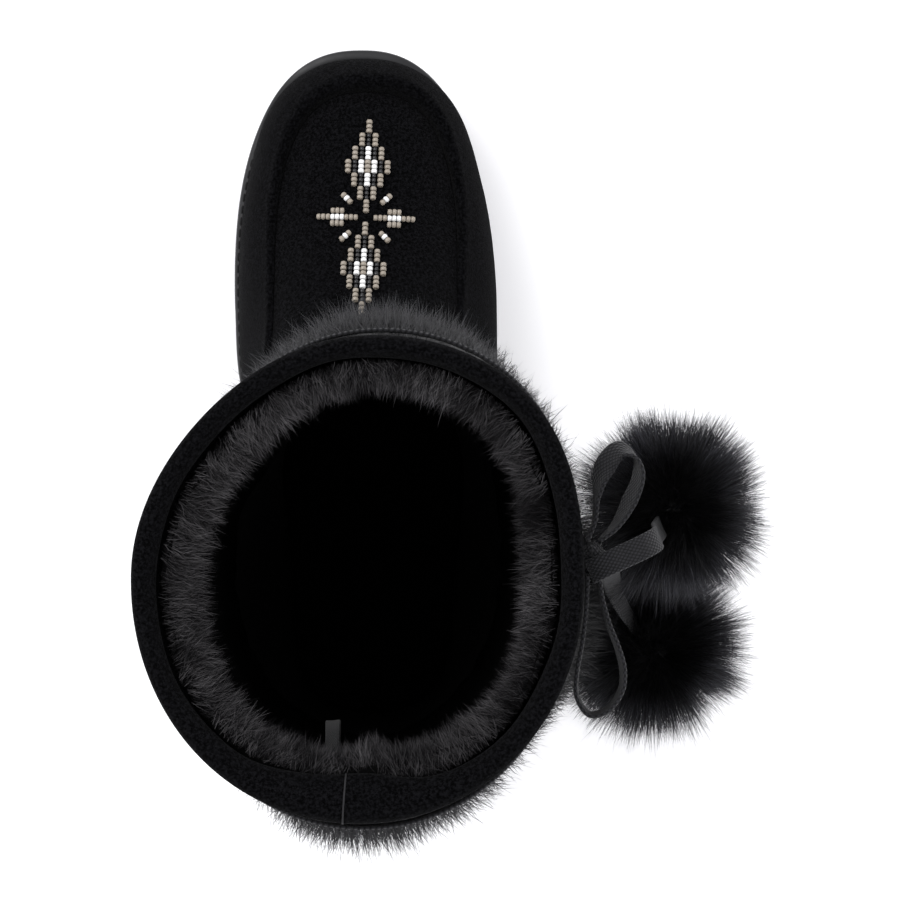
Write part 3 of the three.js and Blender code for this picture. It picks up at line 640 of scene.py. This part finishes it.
laceBand()
bowKnot()
for name, node, points, way, lean in [
    ("bowLoopFrontBraid", "bow_loop_front", bowFront, (0, 0, 1), bowFrontLean),
    ("bowLoopBackBraid", "bow_loop_back", bowBack, (0, 0, 1), bowBackLean),
    ("laceEndFrontBraid", "lace_end_front", endFront, (-0.37, 0.93, 0), noLean),
    ("laceEndBackBraid", "lace_end_back", endBack, (0, 0, 1), endBackLean),
]:
    flatStrip(name, points, way, lean, lace, braid, node)

# Pompoms

pompom = {
    "core": 14.0,
    "root": 8.0,  # where hairs start, from the middle
    "reach": 38.5,
    "droop": 0.16,
    "hairs": 26000,
    "width": 0.27,
    "locks": 300,
    "gathered": 0.4,  # how far tips are drawn together
}
pompomPlaces = {"pompom_front": (108.4, 39.4, 215), "pompom_back": (104, -11, 180)}


def pompomFur(name, node, seed):  # long hairs from a small ball, gathered in locks and sinking a little
    rng = np.random.default_rng(seed)
    centre = np.array(pompomPlaces[node], float)
    n = pompom["hairs"]
    way = unit(rng.normal(size=(n, 3)))
    swirl = 0.04 * np.stack([ripple(way * 30, 26, seed + k) for k in range(3)], -1)
    lean = unit(way + swirl + rng.normal(scale=0.14, size=(n, 3)))
    root = centre + way * pompom["root"]
    uneven = 1 + 0.035 * ripple(way * 30, 20, seed + 5)
    length = (pompom["reach"] - pompom["root"]) * uneven * rng.uniform(0.7, 1.05, n)
    lean, length = gatherTips(root, lean, length, pompom["locks"], pompom["gathered"], seed + 6)
    bend = np.array([0, 0, -pompom["droop"]]) + 2.4 * swirl + rng.normal(scale=0.1, size=(n, 3))
    dim = 1 - 0.9 * smoothStep(way[:, 2], 0.5, 0.85)  # painted shade: hairs pointing up are darkened where the hair parts at the top, where the lace goes in
    dim = dim * (0.95 + 0.3 * ripple(way * 30, 13, seed + 8))  # lighter and darker tufts
    width = rng.uniform(0.6, 1.3, n) * pompom["width"]
    fur = hairs(root, lean, length, width, bend, seed + 9, 3, 0.03, dim)
    u = np.linspace(0, 2 * math.pi, 64, endpoint=False)[None]
    v = np.linspace(math.pi - 0.03, 0.03, 34)[:, None]
    ball = np.stack([np.cos(u) * np.sin(v), np.sin(u) * np.sin(v), np.cos(v) + 0 * u], -1)
    ball = centre + ball * (pompom["core"] + 1.2 * ripple(ball * 30, 9, seed + 7))[..., None]
    core = (ball.reshape(-1, 3), [gridFaces(34, 64), *endCaps(34, 64)], 0.05)
    points, faces, shade = joined(core, fur)
    return makePiece(name, points, faces, pompomHair, node, shade=shade)


pompomPieces = {
    "lace_end_front": pompomFur("pompomFrontFur", "pompom_front", 11),
    "lace_end_back": pompomFur("pompomBackFur", "pompom_back", 31),
}
print("lace and pompoms made")

# Upper, foot wrap and collar

creases = [  # soft troughs at the ankle and across the vamp: from, to, half-width, depth
    {"from": (-40, 38, 96), "to": (-30, 78, 84), "width": 7, "depth": 0.9},
    {"from": (38, 40, 98), "to": (34, 80, 86), "width": 7, "depth": 0.9},
    {"from": (-34, -30, 104), "to": (-44, 30, 112), "width": 9, "depth": 0.8},
    {"from": (38, -28, 102), "to": (47, 28, 110), "width": 9, "depth": 0.8},
    {"from": (-20, -48, 96), "to": (22, -48, 98), "width": 8, "depth": 1.2},
    {"from": (-46, 6, 150), "to": (-30, 66, 132), "width": 12, "depth": 1.5},
    {"from": (52, 4, 154), "to": (44, 60, 138), "width": 12, "depth": 1.4},
    {"from": (1, -59, 300), "to": (1, -48, 90), "width": 2.2, "depth": 0.6},  # seam up the back
]


def creaseRelief(p):  # each trough is a bell across its line, with a low swell beside it
    total = np.zeros(p.shape[:-1])
    for crease in creases:
        a, b = np.array(crease["from"], float), np.array(crease["to"], float)
        t = np.clip(((p - a) @ (b - a)) / ((b - a) @ (b - a)), 0, 1)
        away = np.linalg.norm(p - a - t[..., None] * (b - a), axis=-1) / crease["width"]
        total += crease["depth"] * (0.45 * bell(away - 1.9) - bell(away))
    return total + 0.25 * ripple(p, 55, 3)


upper = {"columns": 300, "creasesStart": (30, 60), "creasesEnd": (240, 285)}  # heights where they fade


def upperRelief(p):
    start = smoothStep(p[..., 2], *upper["creasesStart"])
    return creaseRelief(p) * start * (1 - smoothStep(p[..., 2], *upper["creasesEnd"]))


def suedeUpper():  # outer sections up, then the inner wall down, closed over the top and under the foot
    n, low, high = upper["columns"], boot["featherHeight"], boot["shaftTop"]
    foot = [np.arange(low, 36, 1.4), np.arange(36, 92, 0.9), np.arange(92, 132, 1.8)]
    heights = np.concatenate([*foot, np.linspace(132, high, 50)])
    inside = np.concatenate([np.linspace(high, 132, 9), np.linspace(112, low, 14)])
    outer = bootRings(heights, 0 * heights, n, upperRelief)
    inner = bootRings(inside, 0 * inside - boot["wall"], n)
    rows = np.concatenate([outer, inner])
    return makePiece("upperSuede", rows, [gridFaces(len(rows), n, up=True)], suede, "upper")


suedeUpper()

sole = {"inner": 6.4, "outer": 4.2, "columns": 420, "lip": 2.5, "cup": 2.4, "gap": 0.3}
bumper = {"height": 6.0, "from": 186.0, "to": 214.0}
wrap = {
    "inner": 0.3,
    "outer": 1.9,
    "roll": 0.35,
    "bulge": (2.4, 3.0),  # over the lip, on the inner and on the outer side
    "toeBulge": 2.8,
    "columns": 560,
    "rows": 44,
}
plug = {"front": 201.0, "inner": -37.0, "outer": 35.0, "power": 2.6, "roundFrom": 130.0, "soften": 20.0}
wrapTop = {"along": [-80, -20, 30, 66, 110], "height": [85, 87, 96, 108, 118]}
wrapTopAt = smoothColumn(wrapTop, "along", "height")


def wrapEdge():  # top edge of the wrap: round the heel, then along the U over the vamp
    y = np.linspace(-47, 92, 300)

    def sideX(sign):  # where the surface is at the wrap's height, on one side
        middle = np.full(len(y), 1.0)

        def outside(s):
            return bootLevel(middle + sign * s, y, wrapTopAt(y)) > 1

        return middle + sign * halve(outside, 0 * y, 0 * y + 90)

    edge = {}
    for name, sign, limit in [("outer", 1, plug["outer"]), ("inner", -1, plug["inner"])]:
        x = sideX(sign)
        reached = (np.abs(x) < abs(limit)) & (y > 20)
        meets = np.argmax(reached) if reached.any() else len(y) - 1
        heel = np.stack([x, y, wrapTopAt(y)], -1)[: meets + 1]
        straightY = np.linspace(y[meets], plug["roundFrom"], 60)[1:]
        straightX = np.full(59, limit)
        straight = np.stack([straightX, straightY, vampTop(straightX, straightY, wrapTopAt(straightY))], -1)
        edge[name] = np.vstack([heel, straight])
    turn = np.linspace(0, math.pi, 121)[1:-1]
    middle, half = (plug["outer"] + plug["inner"]) / 2, (plug["outer"] - plug["inner"]) / 2
    x = middle + half * np.sign(np.cos(turn)) * np.abs(np.cos(turn)) ** (2 / plug["power"])
    front = plug["front"] - plug["roundFrom"]
    frontY = plug["roundFrom"] + front * np.sin(turn) ** (2 / plug["power"])
    bow = np.stack([x, frontY, vampTop(x, frontY)], -1)
    back = ontoBoot(np.array([[0.8, -52.0, 84.9]]))
    loop = np.vstack([back, edge["outer"], bow, edge["inner"][::-1], back])
    run = runAlong(loop)
    even = alongLine(loop, run, np.arange(0, run[-1], 1.0))
    reach = np.arange(-40, 41)
    weight = bell(reach / plug["soften"])  # corners at the ankle are rounded by a weighted mean
    soft = sum(w * np.roll(even, k, 0) for k, w in zip(reach, weight / weight.sum()))
    mix = 1 - smoothStep(even[:, 1:2], 95, 125)
    return ontoBoot(even * (1 - mix) + soft * mix)


def sharePath(loop, marks, count):  # points along a closed loop, spread evenly between marked points
    closed = np.vstack([loop, loop[:1]])
    run = runAlong(closed)
    places = [run[m] for m in marks] + [run[-1]]
    shares = np.linspace(0, 1, len(places))
    want = np.interp(np.arange(count) / count, shares, places)
    return alongLine(closed, run, want)


def markOn(loop, y, side):  # a loop's point nearest to y on one side, or its foremost one
    if side == 0:
        return int(np.argmax(loop[:, 1]))
    return int(np.argmin(np.where((loop[:, 0] > 0) == (side > 0), np.abs(loop[:, 1] - y), 1e3)))


def footWrap():  # rows from the feather line to the edge, laid on the surface, with a turned edge
    edge = wrapEdge()
    base = bootSections([boot["featherHeight"]], 800)[0]
    # y and side of places up the outer side, at the toe and down the inner side
    marks = [(60, 1), (130, 1), (0, 0), (130, -1), (60, -1)]
    edgeMarks = [0] + [markOn(edge, y, side) for y, side in marks]
    baseMarks = [0] + [markOn(base, y + 8, side) for y, side in marks]
    top = sharePath(edge, edgeMarks, wrap["columns"])
    bottom = sharePath(base, baseMarks, wrap["columns"])
    s = np.linspace(0, 1, wrap["rows"])[:, None, None]
    chord = bottom[None] * (1 - s) + top[None] * s
    along = chord[..., 1]
    middle = np.stack([footShift(along), np.clip(along, -10, 150), 0 * along + 30], -1)
    swell = unit(chord - middle) * (np.sin(math.pi * s) * 6)
    rows = ontoBoot(chord + swell)
    rows[0], rows[-1] = bottom, top
    face = facingAt(rows)
    settle = creaseRelief(rows) * smoothStep(rows[..., 2], 30, 60)
    edgeWay = np.linalg.norm(rows - top[None], axis=-1)  # distance back from the edge
    roll = wrap["roll"] * bell((edgeWay - 2.2) / 2.0)
    quarter = np.sqrt(np.clip(1 - ((1.5 - np.minimum(edgeWay, 1.5)) / 1.5) ** 2, 0, 1))
    thick = wrap["inner"] + (wrap["outer"] - wrap["inner"] + roll) * quarter
    outer = rows + face * (thick + settle)[..., None]
    above = rows[..., 2] - boot["featherHeight"]  # it swells over the lip, most on the outer side
    lipHere = sole["lip"] + bumper["height"] * smoothStep(rows[..., 1], bumper["from"], bumper["to"])
    most = np.interp(rows[..., 0], [-25, 25], wrap["bulge"])
    most = most + wrap["toeBulge"] * smoothStep(rows[..., 1], 165, 205)
    bulge = most * smoothStep(above, lipHere + 0.2, lipHere + 6) * (1 - smoothStep(above, 20, 48))
    outer = outer + face * bulge[..., None]
    inner = rows + face * (wrap["inner"] + settle)[..., None]
    shell = springUp(np.concatenate([outer, inner[::-6]]))
    faces = [gridFaces(len(shell), wrap["columns"], up=True)]
    return makePiece("footWrapSuede", shell, faces, suede, "foot_wrap")


footWrap()

collar = {"columns": 480, "facing": 3.6, "backFacing": 12.0, "backSpread": 0.5, "seam": 0.00625}


def facingWidth(share):  # by share of the way round from the back: wider and wavy there
    turn = (share + collar["seam"]) % 1
    back = bell(np.minimum(turn, 1 - turn) * 2 * math.pi / collar["backSpread"])
    wavy = 0.9 * np.sin(share * 2 * math.pi * 7 + 1) + 0.5 * np.sin(share * 2 * math.pi * 13)
    return collar["facing"] + (collar["backFacing"] - collar["facing"]) * back + wavy * (0.25 + 0.5 * back)


def suedeCollar():
    # profile carried round: outer face, rolled rim, facing turned in, underside
    n = collar["columns"]
    share = np.arange(n) / n
    wide = facingWidth(share)
    profile = [  # height, offset, and share of the facing's width
        (288.0, 0.4, 0), (287.6, 1.4, 0), (288.2, 2.2, 0), (291, 2.5, 0), (296, 2.4, 0), (301, 2.3, 0),
        (305, 2.3, 0), (308, 1.9, 0), (309.6, 0.6, 0), (310.3, -1.4, 0), (310.1, -1.4, 0.25),
        (309.3, -1.4, 0.5), (307.9, -1.4, 0.75), (306.4, -1.4, 0.93), (305.2, -1.4, 1),
        (304.2, -1.4, 0.94), (303.4, -1.4, 0.7), (303, -3.4, 0.2), (303, -3.3, 0),
        (308.3, -3.3, 0), (308.3, 0.35, 0), (300, 0.35, 0),
    ]
    heights, offsets, facing = np.array(profile, float).T[..., None]
    rows = bootRings(np.minimum(heights[:, 0], 309.9), offsets - facing * wide, n)
    step = np.arange(len(profile))[:, None]
    turnedIn = (step > 9) & (step < 17)
    rows[..., 2] = heights + 0.4 * ripple(rows, 30, 21) * turnedIn
    turn = (share + collar["seam"] + 0.5) % 1 - 0.5
    seam = 0.4 * bell(turn / 0.0032)
    rows[8:15, :, 2] -= seam[None]
    makePiece("collarSuede", rows, [gridFaces(len(rows), n, up=True)], suede, "collar")
    return rows[5:15, -3] + np.array([0, 0, 0.2])


seamSize = {"width": 0.6, "thickness": 0.5, "columns": 7, "step": 0.6, "welt": 0.0}
flatStrip("collarSeam", suedeCollar(), (1, 0, 0), noLean, seamSize, seamThread, None)
print("suede made")

# Fur band under the collar

furBand = {
    "hairs": 36500,
    "top": 284.0,
    "bottom": 192.0,
    "width": 0.3,
    "length": 29.0,
    "locks": 1100,
    "stand": 0.1,  # how far hairs lean out, and more at the front, at the back and beside the bow
    "standFront": 0.28,
    "standBack": 0.46,
    "standBow": 0.24,
    "full": 8.0,  # how much the band swells under the bow
}
furForm = {
    "height": [183, 188, 204, 232, 258, 272, 278, 287],
    "out": [1.0, 2.6, 4.4, 5.2, 5.0, 4.2, 2.2, 1.8],
}


def scatterOnLeg(n, low, high, seed):
    # random places round the leg between two heights, with their facing and share of the way round
    rng = np.random.default_rng(seed)
    rows = bootSections(np.linspace(low, high, 40), 720)
    face = facingAt(rows)
    i = rng.integers(0, 720, n)
    r = rng.uniform(0, 38.999, n)
    k = r.astype(int)
    f = (r - k)[:, None]
    place = rows[k, i] * (1 - f) + rows[k + 1, i] * f
    return place, face[k, i], i / 720, rng


def underBow(p):  # the band is fuller there: a bell along y, fading out above and below
    along = (p[..., 0] > 0) * bell((p[..., 1] - 4) / 32)
    return furBand["full"] * along * smoothStep(p[..., 2], 186, 215) * (1 - smoothStep(p[..., 2], 252, 273))


def furUnderCollar():  # hairs hang and stand off the band, gathered in locks
    place, face, _, rng = scatterOnLeg(furBand["hairs"], furBand["bottom"], furBand["top"], 41)
    n = len(place)
    out = smoothColumn(furForm, "height", "out")
    side = np.cross([0, 0, 1.0], face)
    lock = ripple(place, 24, 43)
    ends = np.where(face[:, 1] > 0, furBand["standFront"], furBand["standBack"]) * face[:, 1] ** 6
    stand = furBand["stand"] + ends + 0.05 * ripple(place, 30, 45)
    outerSide = smoothStep(face[:, 0], 0.7, 0.95)
    stand = stand + furBand["standBow"] * outerSide * bell((place[:, 1] - 4) / 30)
    way = face * stand[:, None] + side * (0.1 * lock + rng.normal(scale=0.08, size=n))[:, None]
    way = unit(way + np.array([0, 0, -0.9]) + rng.normal(scale=0.06, size=(n, 3)))
    length = furBand["length"] * rng.uniform(0.6, 1.1, n) * (1 + 0.08 * lock)
    root = place + face * (out(place[:, 2]) - 1 + underBow(place))[:, None]
    way, length = gatherTips(root, way, length, furBand["locks"], 0.18, 46)
    bend = face * 0.08 + np.array([0, 0, -0.12]) + rng.normal(scale=0.07, size=(n, 3))
    dim = 1 - 0.85 * outerSide * bell((place[:, 1] - 8) / 38)  # painted shade under the bow
    width = rng.uniform(0.7, 1.3, n) * furBand["width"]
    fur = hairs(root, way, length, width, bend, 47, 3, 0.03, dim)
    heights = np.linspace(183, 287, 22)
    outer = bootRings(heights, out(heights), 150, lambda p: underBow(p) + 0.5 * ripple(p, 9, 49))
    inner = bootRings(heights[::-5], np.full(len(heights[::-5]), 0.5), 150)
    rows = np.concatenate([outer, inner])
    skin = (rows.reshape(-1, 3), [gridFaces(len(rows), 150, up=True)], 0.1)
    points, faces, shade = joined(skin, fur)
    return makePiece("furBandHair", points, faces, furHair, "fur_band", shade=shade)


furUnderCollar()

# Pile lining and footbed

lining = {
    "hairs": 60000,
    "width": 0.22,
    "length": 5.6,
    "locks": 2400,
    "low": 272.0,  # hairs grow from here to the rim
    "rim": 303.5,
    "topShare": 0.6,  # this share of them stands on the sleeve's top
    "topLength": 7.4,
    "darkAt": 268.0,  # no light gets below it, and on the inner side it is higher
    "darkAtInner": 16.0,
    "lightAt": 296.0,
}
liningForm = {  # how far the pile's body stands in from the suede's outer face
    "height": [150, 160, 210, 255, 286, 299, 304],
    "inset": [7.4, 7.6, 8.4, 9.6, 10.4, 9.8, 8],
}
liningSwell = {"front": 3.0, "back": 8.0, "from": 200.0, "to": 280.0}  # further in towards the top there


def pileInset(p, face):  # the table's inset, with the swell at front and back
    most = np.where(face[..., 1] > 0, liningSwell["front"], liningSwell["back"])
    swell = smoothStep(p[..., 2], liningSwell["from"], liningSwell["to"]) * most * face[..., 1] ** 2
    return smoothColumn(liningForm, "height", "inset")(p[..., 2]) + swell


def pileLining():  # a lumpy sleeve inside the shaft, hairs round its top where light falls on them
    heights = np.concatenate([np.linspace(150, 250, 9), np.linspace(256, 304, 18)])[::-1]

    def inward(p):  # lumps, and a fuller one beside the seam at the back
        lump = 0.7 * ripple(p, 26, 61) + 0.4 * ripple(p, 11, 63)
        full = bell((p[..., 0] - 10) / 9) * (p[..., 1] < 0) * smoothStep(p[..., 2], 250, 290)
        return lump + 4.5 * full * (1 - smoothStep(p[..., 2], 299, 304))

    inner = bootRings(heights, 0 * heights, 180, lambda p: -inward(p) - pileInset(p, facingAt(p)))
    outer = bootRings(np.linspace(150, 290, 12), np.full(12, -3.3), 180)
    rim = bootRings([291, 302], [-5.8, -5.8], 180)
    rows = np.concatenate([inner, outer, rim])
    # painted shade: the sleeve under the hairs is near-black, as the pile's body lies in shade
    sleeve = (rows.reshape(-1, 3), [gridFaces(len(rows), 180, up=True)], 0.02)
    place, face, share, rng = scatterOnLeg(lining["hairs"], lining["low"], lining["rim"], 65)
    n = len(place)
    side = np.cross([0, 0, 1.0], face)
    way = -face * (0.75 + 0.15 * ripple(place, 17, 69))[:, None]
    way = way + side * (0.45 * ripple(place, 19, 67))[:, None]
    rise = 0.1 + 0.35 * smoothStep(place[:, 2], 275, 300) + 0.2 * ripple(place, 15, 71)
    way = unit(way + np.array([0, 0, 1.0]) * rise[:, None] + rng.normal(scale=0.2, size=(n, 3)))
    inset = pileInset(place, face) + inward(place) - 1.2
    top = rng.uniform(size=n) < lining["topShare"]  # these stand on its top, from the collar's edge inwards
    place[top, 2] = 303.4
    edge = 1.5 + facingWidth(share)
    onTop = edge + rng.uniform(0, 1, n) * np.maximum(inset - edge, 3.5)
    root = place - face * np.where(top, onTop, inset)[:, None]
    length = np.where(top, lining["topLength"], lining["length"]) * rng.uniform(0.5, 1.1, n)
    way, length = gatherTips(root, way, length, lining["locks"], 0.25, 72)
    bend = -face * 0.1 + rng.normal(scale=0.15, size=(n, 3)) + np.array([0, 0, -0.3])
    start = lining["darkAt"] + lining["darkAtInner"] * np.maximum(-face[:, 0], 0)
    clump = 0.9 + 0.16 * ripple(root, 8, 75) + 0.1 * ripple(root, 26, 77)  # lighter and darker tufts
    # painted shade: hairs darken with depth below the rim; painted light: those on the sleeve's top are a
    # little lighter, as lit
    dim = clump * (smoothStep((place[:, 2] - start) / (lining["lightAt"] - start), 0, 1) + 0.15 * top)
    width = rng.uniform(0.7, 1.3, n) * lining["width"]
    fur = hairs(root, way, length, width, bend, 73, 2, 0.04, dim)
    points, faces, shade = joined(sleeve, fur)
    return makePiece("pileLining", points, faces, pileHair, "lining", shade=shade)


pileLining()


def fleeceFootbed():  # rings of the footbed drawn in towards its middle, with a napped top
    count = 200
    edge = bootRings([22, 27, 29], [-3.6, -3.6, -6.0], count)
    middle = np.stack([footShift(edge[2][:, 1]), edge[2][:, 1]], -1)
    share = np.linspace(0, 0.98, 18)[1:, None, None]
    inner = np.repeat(edge[2][None], 17, 0)
    inner[..., 0] = edge[2][None, :, 0] * (1 - share[..., 0]) + middle[None, :, 0] * share[..., 0]
    inner[..., 2] += 0.5 * ripple(inner, 12, 81)
    rows = np.concatenate([edge, inner])
    faces = closedGrid(len(rows), count)
    # painted shade: the footbed is near-black, as it lies deep in the shaft's shade
    shade = np.full(len(rows) * count, 0.08)
    return makePiece("footbedFleece", rows, faces, pileHair, "insole", shade=shade)


fleeceFootbed()
print("fur and pile made")

# Sole

soleSide = [  # share of the height, and how far it stands out
    (0, -3.4), (0.03, -2.2), (0.09, -1.1), (0.16, -0.5), (0.3, -0.1), (0.43, 0),
    (0.455, -0.15), (0.475, -1.0), (0.5, -1.25), (0.58, -1.25), (0.605, -1.0), (0.625, -0.15),
    (0.66, 0), (0.8, -0.1), (0.9, -0.3), (0.97, -0.6), (1, -1.1),
]
lug = {"depth": 4.0, "length": 9.0, "pitch": 14.5, "margin": 4.0, "slant": 6.0}
# where each pair of lugs starts, and its clear width
heelPairs = [(-46, 4), (-31, 26), (-16.5, 38), (-2, 36), (14, 14)]
frontPairs = [(72 + lug["pitch"] * i, 4) for i in range(9)]
heelPad = {"halfWidth": 15.0, "halfLength": 19.0, "sides": 36}


def lipAt(y):
    return featherAt(y) + sole["lip"] + bumper["height"] * smoothStep(y, bumper["from"], bumper["to"])


def soleOutline(out, count):  # rays from the middle end where the distance from the sole's outline is out
    angle = np.arange(720) / 720 * 2 * math.pi - math.pi / 2

    def outside(r):
        x, y = r * np.cos(angle), 75 + r * np.sin(angle)
        side = np.where(x > footShift(y), sole["outer"], sole["inner"])

        def level(px, py):
            n = boot["footPower"]
            across = np.abs(px - footShift(py)) / (footHalf(py) + side)
            return (across**n + roundEnds(py, boot["toeTip"], boot["heelBack"]) ** n) ** (1 / n)

        slope = np.hypot(level(x + 0.5, y) - level(x - 0.5, y), level(x, y + 0.5) - level(x, y - 0.5))
        return (level(x, y) - 1) / np.maximum(slope, 1e-4) > out

    r = halve(outside, np.zeros(720), np.full(720, 260.0))
    return evenLoop(np.stack([r * np.cos(angle), 75 + r * np.sin(angle)], -1), count)


def lugBlocks():  # slanted blocks in pairs, each with a chamfered foot
    def edge(sign, y):
        ends = np.clip(roundEnds(y, boot["toeTip"], boot["heelBack"]), 0, 1)
        reach = (footHalf(y) + 2) * (1 - ends ** boot["footPower"]) ** (1 / boot["footPower"]) - lug["margin"]
        return footShift(y) + sign * reach

    outlines = []
    for y, clear in heelPairs + frontPairs:
        for sign in (-1, 1):
            inside = footShift(y) + sign * clear / 2
            far = y + lug["length"]
            corners = [[inside, y + lug["slant"]], [edge(sign, y), y], [edge(sign, far), far]]
            corners.append([inside, far + lug["slant"]])
            outlines.append(np.array(corners[::sign], float))
    turn = np.arange(heelPad["sides"]) / heelPad["sides"] * 2 * math.pi
    outlines.append(np.stack([heelPad["halfWidth"] * np.cos(turn), heelPad["halfLength"] * np.sin(turn)], -1))
    parts = []
    for outline in outlines:
        centre = outline.mean(0)
        n = len(outline)
        rings = []
        for lift, draw in [(0, 0.9), (0.9, 1.0), (lug["depth"] + 1.0, 1.02)]:
            flat = centre + (outline - centre) * draw
            rings.append(np.column_stack([flat, treadAt(flat[:, 1]) + lift]))
        parts.append((np.vstack(rings), [gridFaces(3, n), *endCaps(3, n)], 0.0))
    return joined(*parts)


def rubberSole():  # side profile carried round the outline, up over the lip and down into the cup
    n = sole["columns"]
    rows = []
    for share, out in soleSide:
        flat = soleOutline(out, n)
        bottom = treadAt(flat[:, 1]) + lug["depth"]
        rows.append(np.column_stack([flat, bottom + (lipAt(flat[:, 1]) - bottom) * share]))
    cup = bootRings([boot["featherHeight"]], [sole["cup"]], n)[0]
    rim = rows[-1] * 0.45 + cup * 0.55
    rim[:, 2] = lipAt(rim[:, 1]) + 0.25
    lip = cup.copy()
    lip[:, 2] = lipAt(cup[:, 1]) - 0.25
    floorRow = cup.copy()
    floorRow[:, 2] = featherAt(cup[:, 1]) - sole["gap"]
    rows = np.stack([*rows, rim, lip, floorRow])
    base = (rows.reshape(-1, 3), closedGrid(len(rows), n), 0.0)
    points, faces, _ = joined(base, lugBlocks())
    return makePiece("soleRubber", points, faces, rubber, "outsole")


rubberSole()

stitch = {"pitch": 4.8, "length": 3.7, "thick": 1.1}


def lipStitches():  # short rounded threads, one after another along the lip's inner edge
    def out(p):  # further out on the inner side
        return np.interp(p[..., 0], [-20, 0], [4.7, 2.6])

    ring = bootRings([boot["featherHeight"]], [0], 1600, out)[0]
    closed = np.vstack([ring, ring[:1]])
    run = runAlong(closed)
    count = int(run[-1] / stitch["pitch"])
    want = np.arange(count) / count * run[-1]
    place = alongLine(closed, run, want)
    ahead = unit(alongLine(closed, run, (want + 1) % run[-1]) - place)
    place[:, 2] = lipAt(place[:, 1]) + 0.1
    up = np.tile([0, 0, 1.0], (count, 1))
    side = unit(np.cross(ahead, up))
    frames = np.stack([ahead, side, np.cross(side, ahead)], 1)
    u = np.linspace(0, 2 * math.pi, 8, endpoint=False)[None]
    v = np.linspace(-1, 1, 7)[:, None]
    thick = np.sqrt(np.clip(1 - np.abs(v) ** 3, 0, 1)) * stitch["thick"] / 2 + 0.02
    shape = np.stack([v * stitch["length"] / 2 + 0 * u, thick * np.cos(u), thick * np.sin(u)], -1)
    faces = [gridFaces(7, 8), *endCaps(7, 8)]
    points, faces = copies(shape.reshape(-1, 3), faces, place, frames)
    return makePiece("lipStitches", points, faces, thread)


lipStitches()

# Beadwork

bead = {"length": 1.78, "pitch": 2.55, "width": 2.5, "hole": 0.7, "lift": 1.1}
motif = {"x": -1.0, "y": 149.8, "turn": 1.8, "diamond": 20.6, "cross": 11.0, "ray": 7.6}
black, tan, white = 0.1, 0.4, 0.9  # the glass's own numbers


def diamondChart():  # columns of three-bead groups, coloured by steps from the middle
    rows = []
    for c in range(-3, 4):
        for g in range(-3, 4):
            steps = abs(c) + abs(g)
            if steps <= 3:
                colour = {3: tan, 2: black, 1: white, 0: tan}[steps]
                rows += [(c * bead["pitch"], (3 * g + k) * bead["length"], 90, colour) for k in (-1, 0, 1)]
    return rows


def crossChart():  # a string of nine with three more above and below its white middle
    rows = [(k * bead["length"], 0, 0, white if abs(k) < 2 else tan) for k in range(-4, 5)]
    return rows + [(k * bead["length"], s * bead["pitch"], 0, tan) for k in (-1, 0, 1) for s in (-1, 1)]


def rayChart():
    return [(k * bead["length"], 0, 0, white if k == 0 else tan) for k in (-1, 0, 1)]


def beadShape():  # ring of a rounded section: the hole runs along the first direction
    u = np.linspace(0, 2 * math.pi, 10, endpoint=False)[None]
    v = np.linspace(0, 2 * math.pi, 7, endpoint=False)[:, None]
    middle, thick = (bead["width"] / 2 + bead["hole"] / 2) / 2, (bead["width"] / 2 - bead["hole"] / 2) / 2
    radius = middle + thick * np.cos(v)
    along = np.sin(v) * bead["length"] / 2 * 0.98
    shape = np.stack([along + 0 * u, radius * np.cos(u), radius * np.sin(u)], -1).reshape(-1, 3)
    return shape, [gridFaces(7, 10, up=True)[:, ::-1]]


def beadMotif(name, node, chart, x, y, turn):
    rows = np.array(chart, float)
    a, b = math.radians(turn), math.radians(-motif["turn"])
    px = x + rows[:, 0] * math.cos(a) - rows[:, 1] * math.sin(a)
    py = y + rows[:, 0] * math.sin(a) + rows[:, 1] * math.cos(a)
    placeX = motif["x"] + px * math.cos(b) - py * math.sin(b)
    placeY = motif["y"] + px * math.sin(b) + py * math.cos(b)
    way = np.radians(rows[:, 2]) + a + b
    place = np.stack([placeX, placeY, vampTop(placeX, placeY)], -1)
    up = facingAt(place)
    string = np.stack([np.cos(way), np.sin(way), 0 * way], -1)
    ahead = unit(string - (string * up).sum(-1, keepdims=True) * up)
    size = np.where(rows[:, 3] == black, 0.8, 1.0)
    rng = np.random.default_rng(91)
    size = size * rng.uniform(0.95, 1.04, len(rows))
    swell = np.stack([np.ones(len(rows)), size, size], -1)
    frames = np.stack([ahead, np.cross(up, ahead), up], 1) * swell[:, :, None]
    shape, faces = beadShape()
    points, faces = copies(shape, faces, springUp(place + up * (bead["lift"] * size)[:, None]), frames)
    return makePiece(name, points, faces, beadGlass, node, shade=np.repeat(rows[:, 3], len(shape)))


beadMotif("beadDiamondToe", "bead_diamond_toe", diamondChart(), 0, motif["diamond"], 0)
beadMotif("beadDiamondInstep", "bead_diamond_instep", diamondChart(), 0, -motif["diamond"], 0)
beadMotif("beadCrossInner", "bead_cross_inner", crossChart(), -motif["cross"], 0, 0)
beadMotif("beadCrossOuter", "bead_cross_outer", crossChart(), motif["cross"], 0, 0)
for i, turn in enumerate([45, 135, 225, 315]):
    x, y = (motif["ray"] * np.sign(f(math.radians(turn))) for f in (math.cos, math.sin))
    beadMotif(f"beadRay{i + 1}", f"bead_ray_{i + 1}", rayChart(), x, y, turn)
print("beadwork made")

# Ribbon loop inside the back of the collar

ribbon = {"width": 5.0, "thickness": 1.0, "columns": 11, "step": 0.5, "welt": 0.1}
ribbonPath = [
    [-6, -39.3, 298.5], [-6, -35.8, 298], [-6, -31, 294.4],
    [-6, -29, 288.8], [-6, -32.8, 283.6], [-6, -39.1, 281.8],
]
flatStrip("pullRibbon", ribbonPath, (0.88, 0.1, 0.46), noLean, ribbon, ribbonWeave, "pull_loop")

print("boot finished")
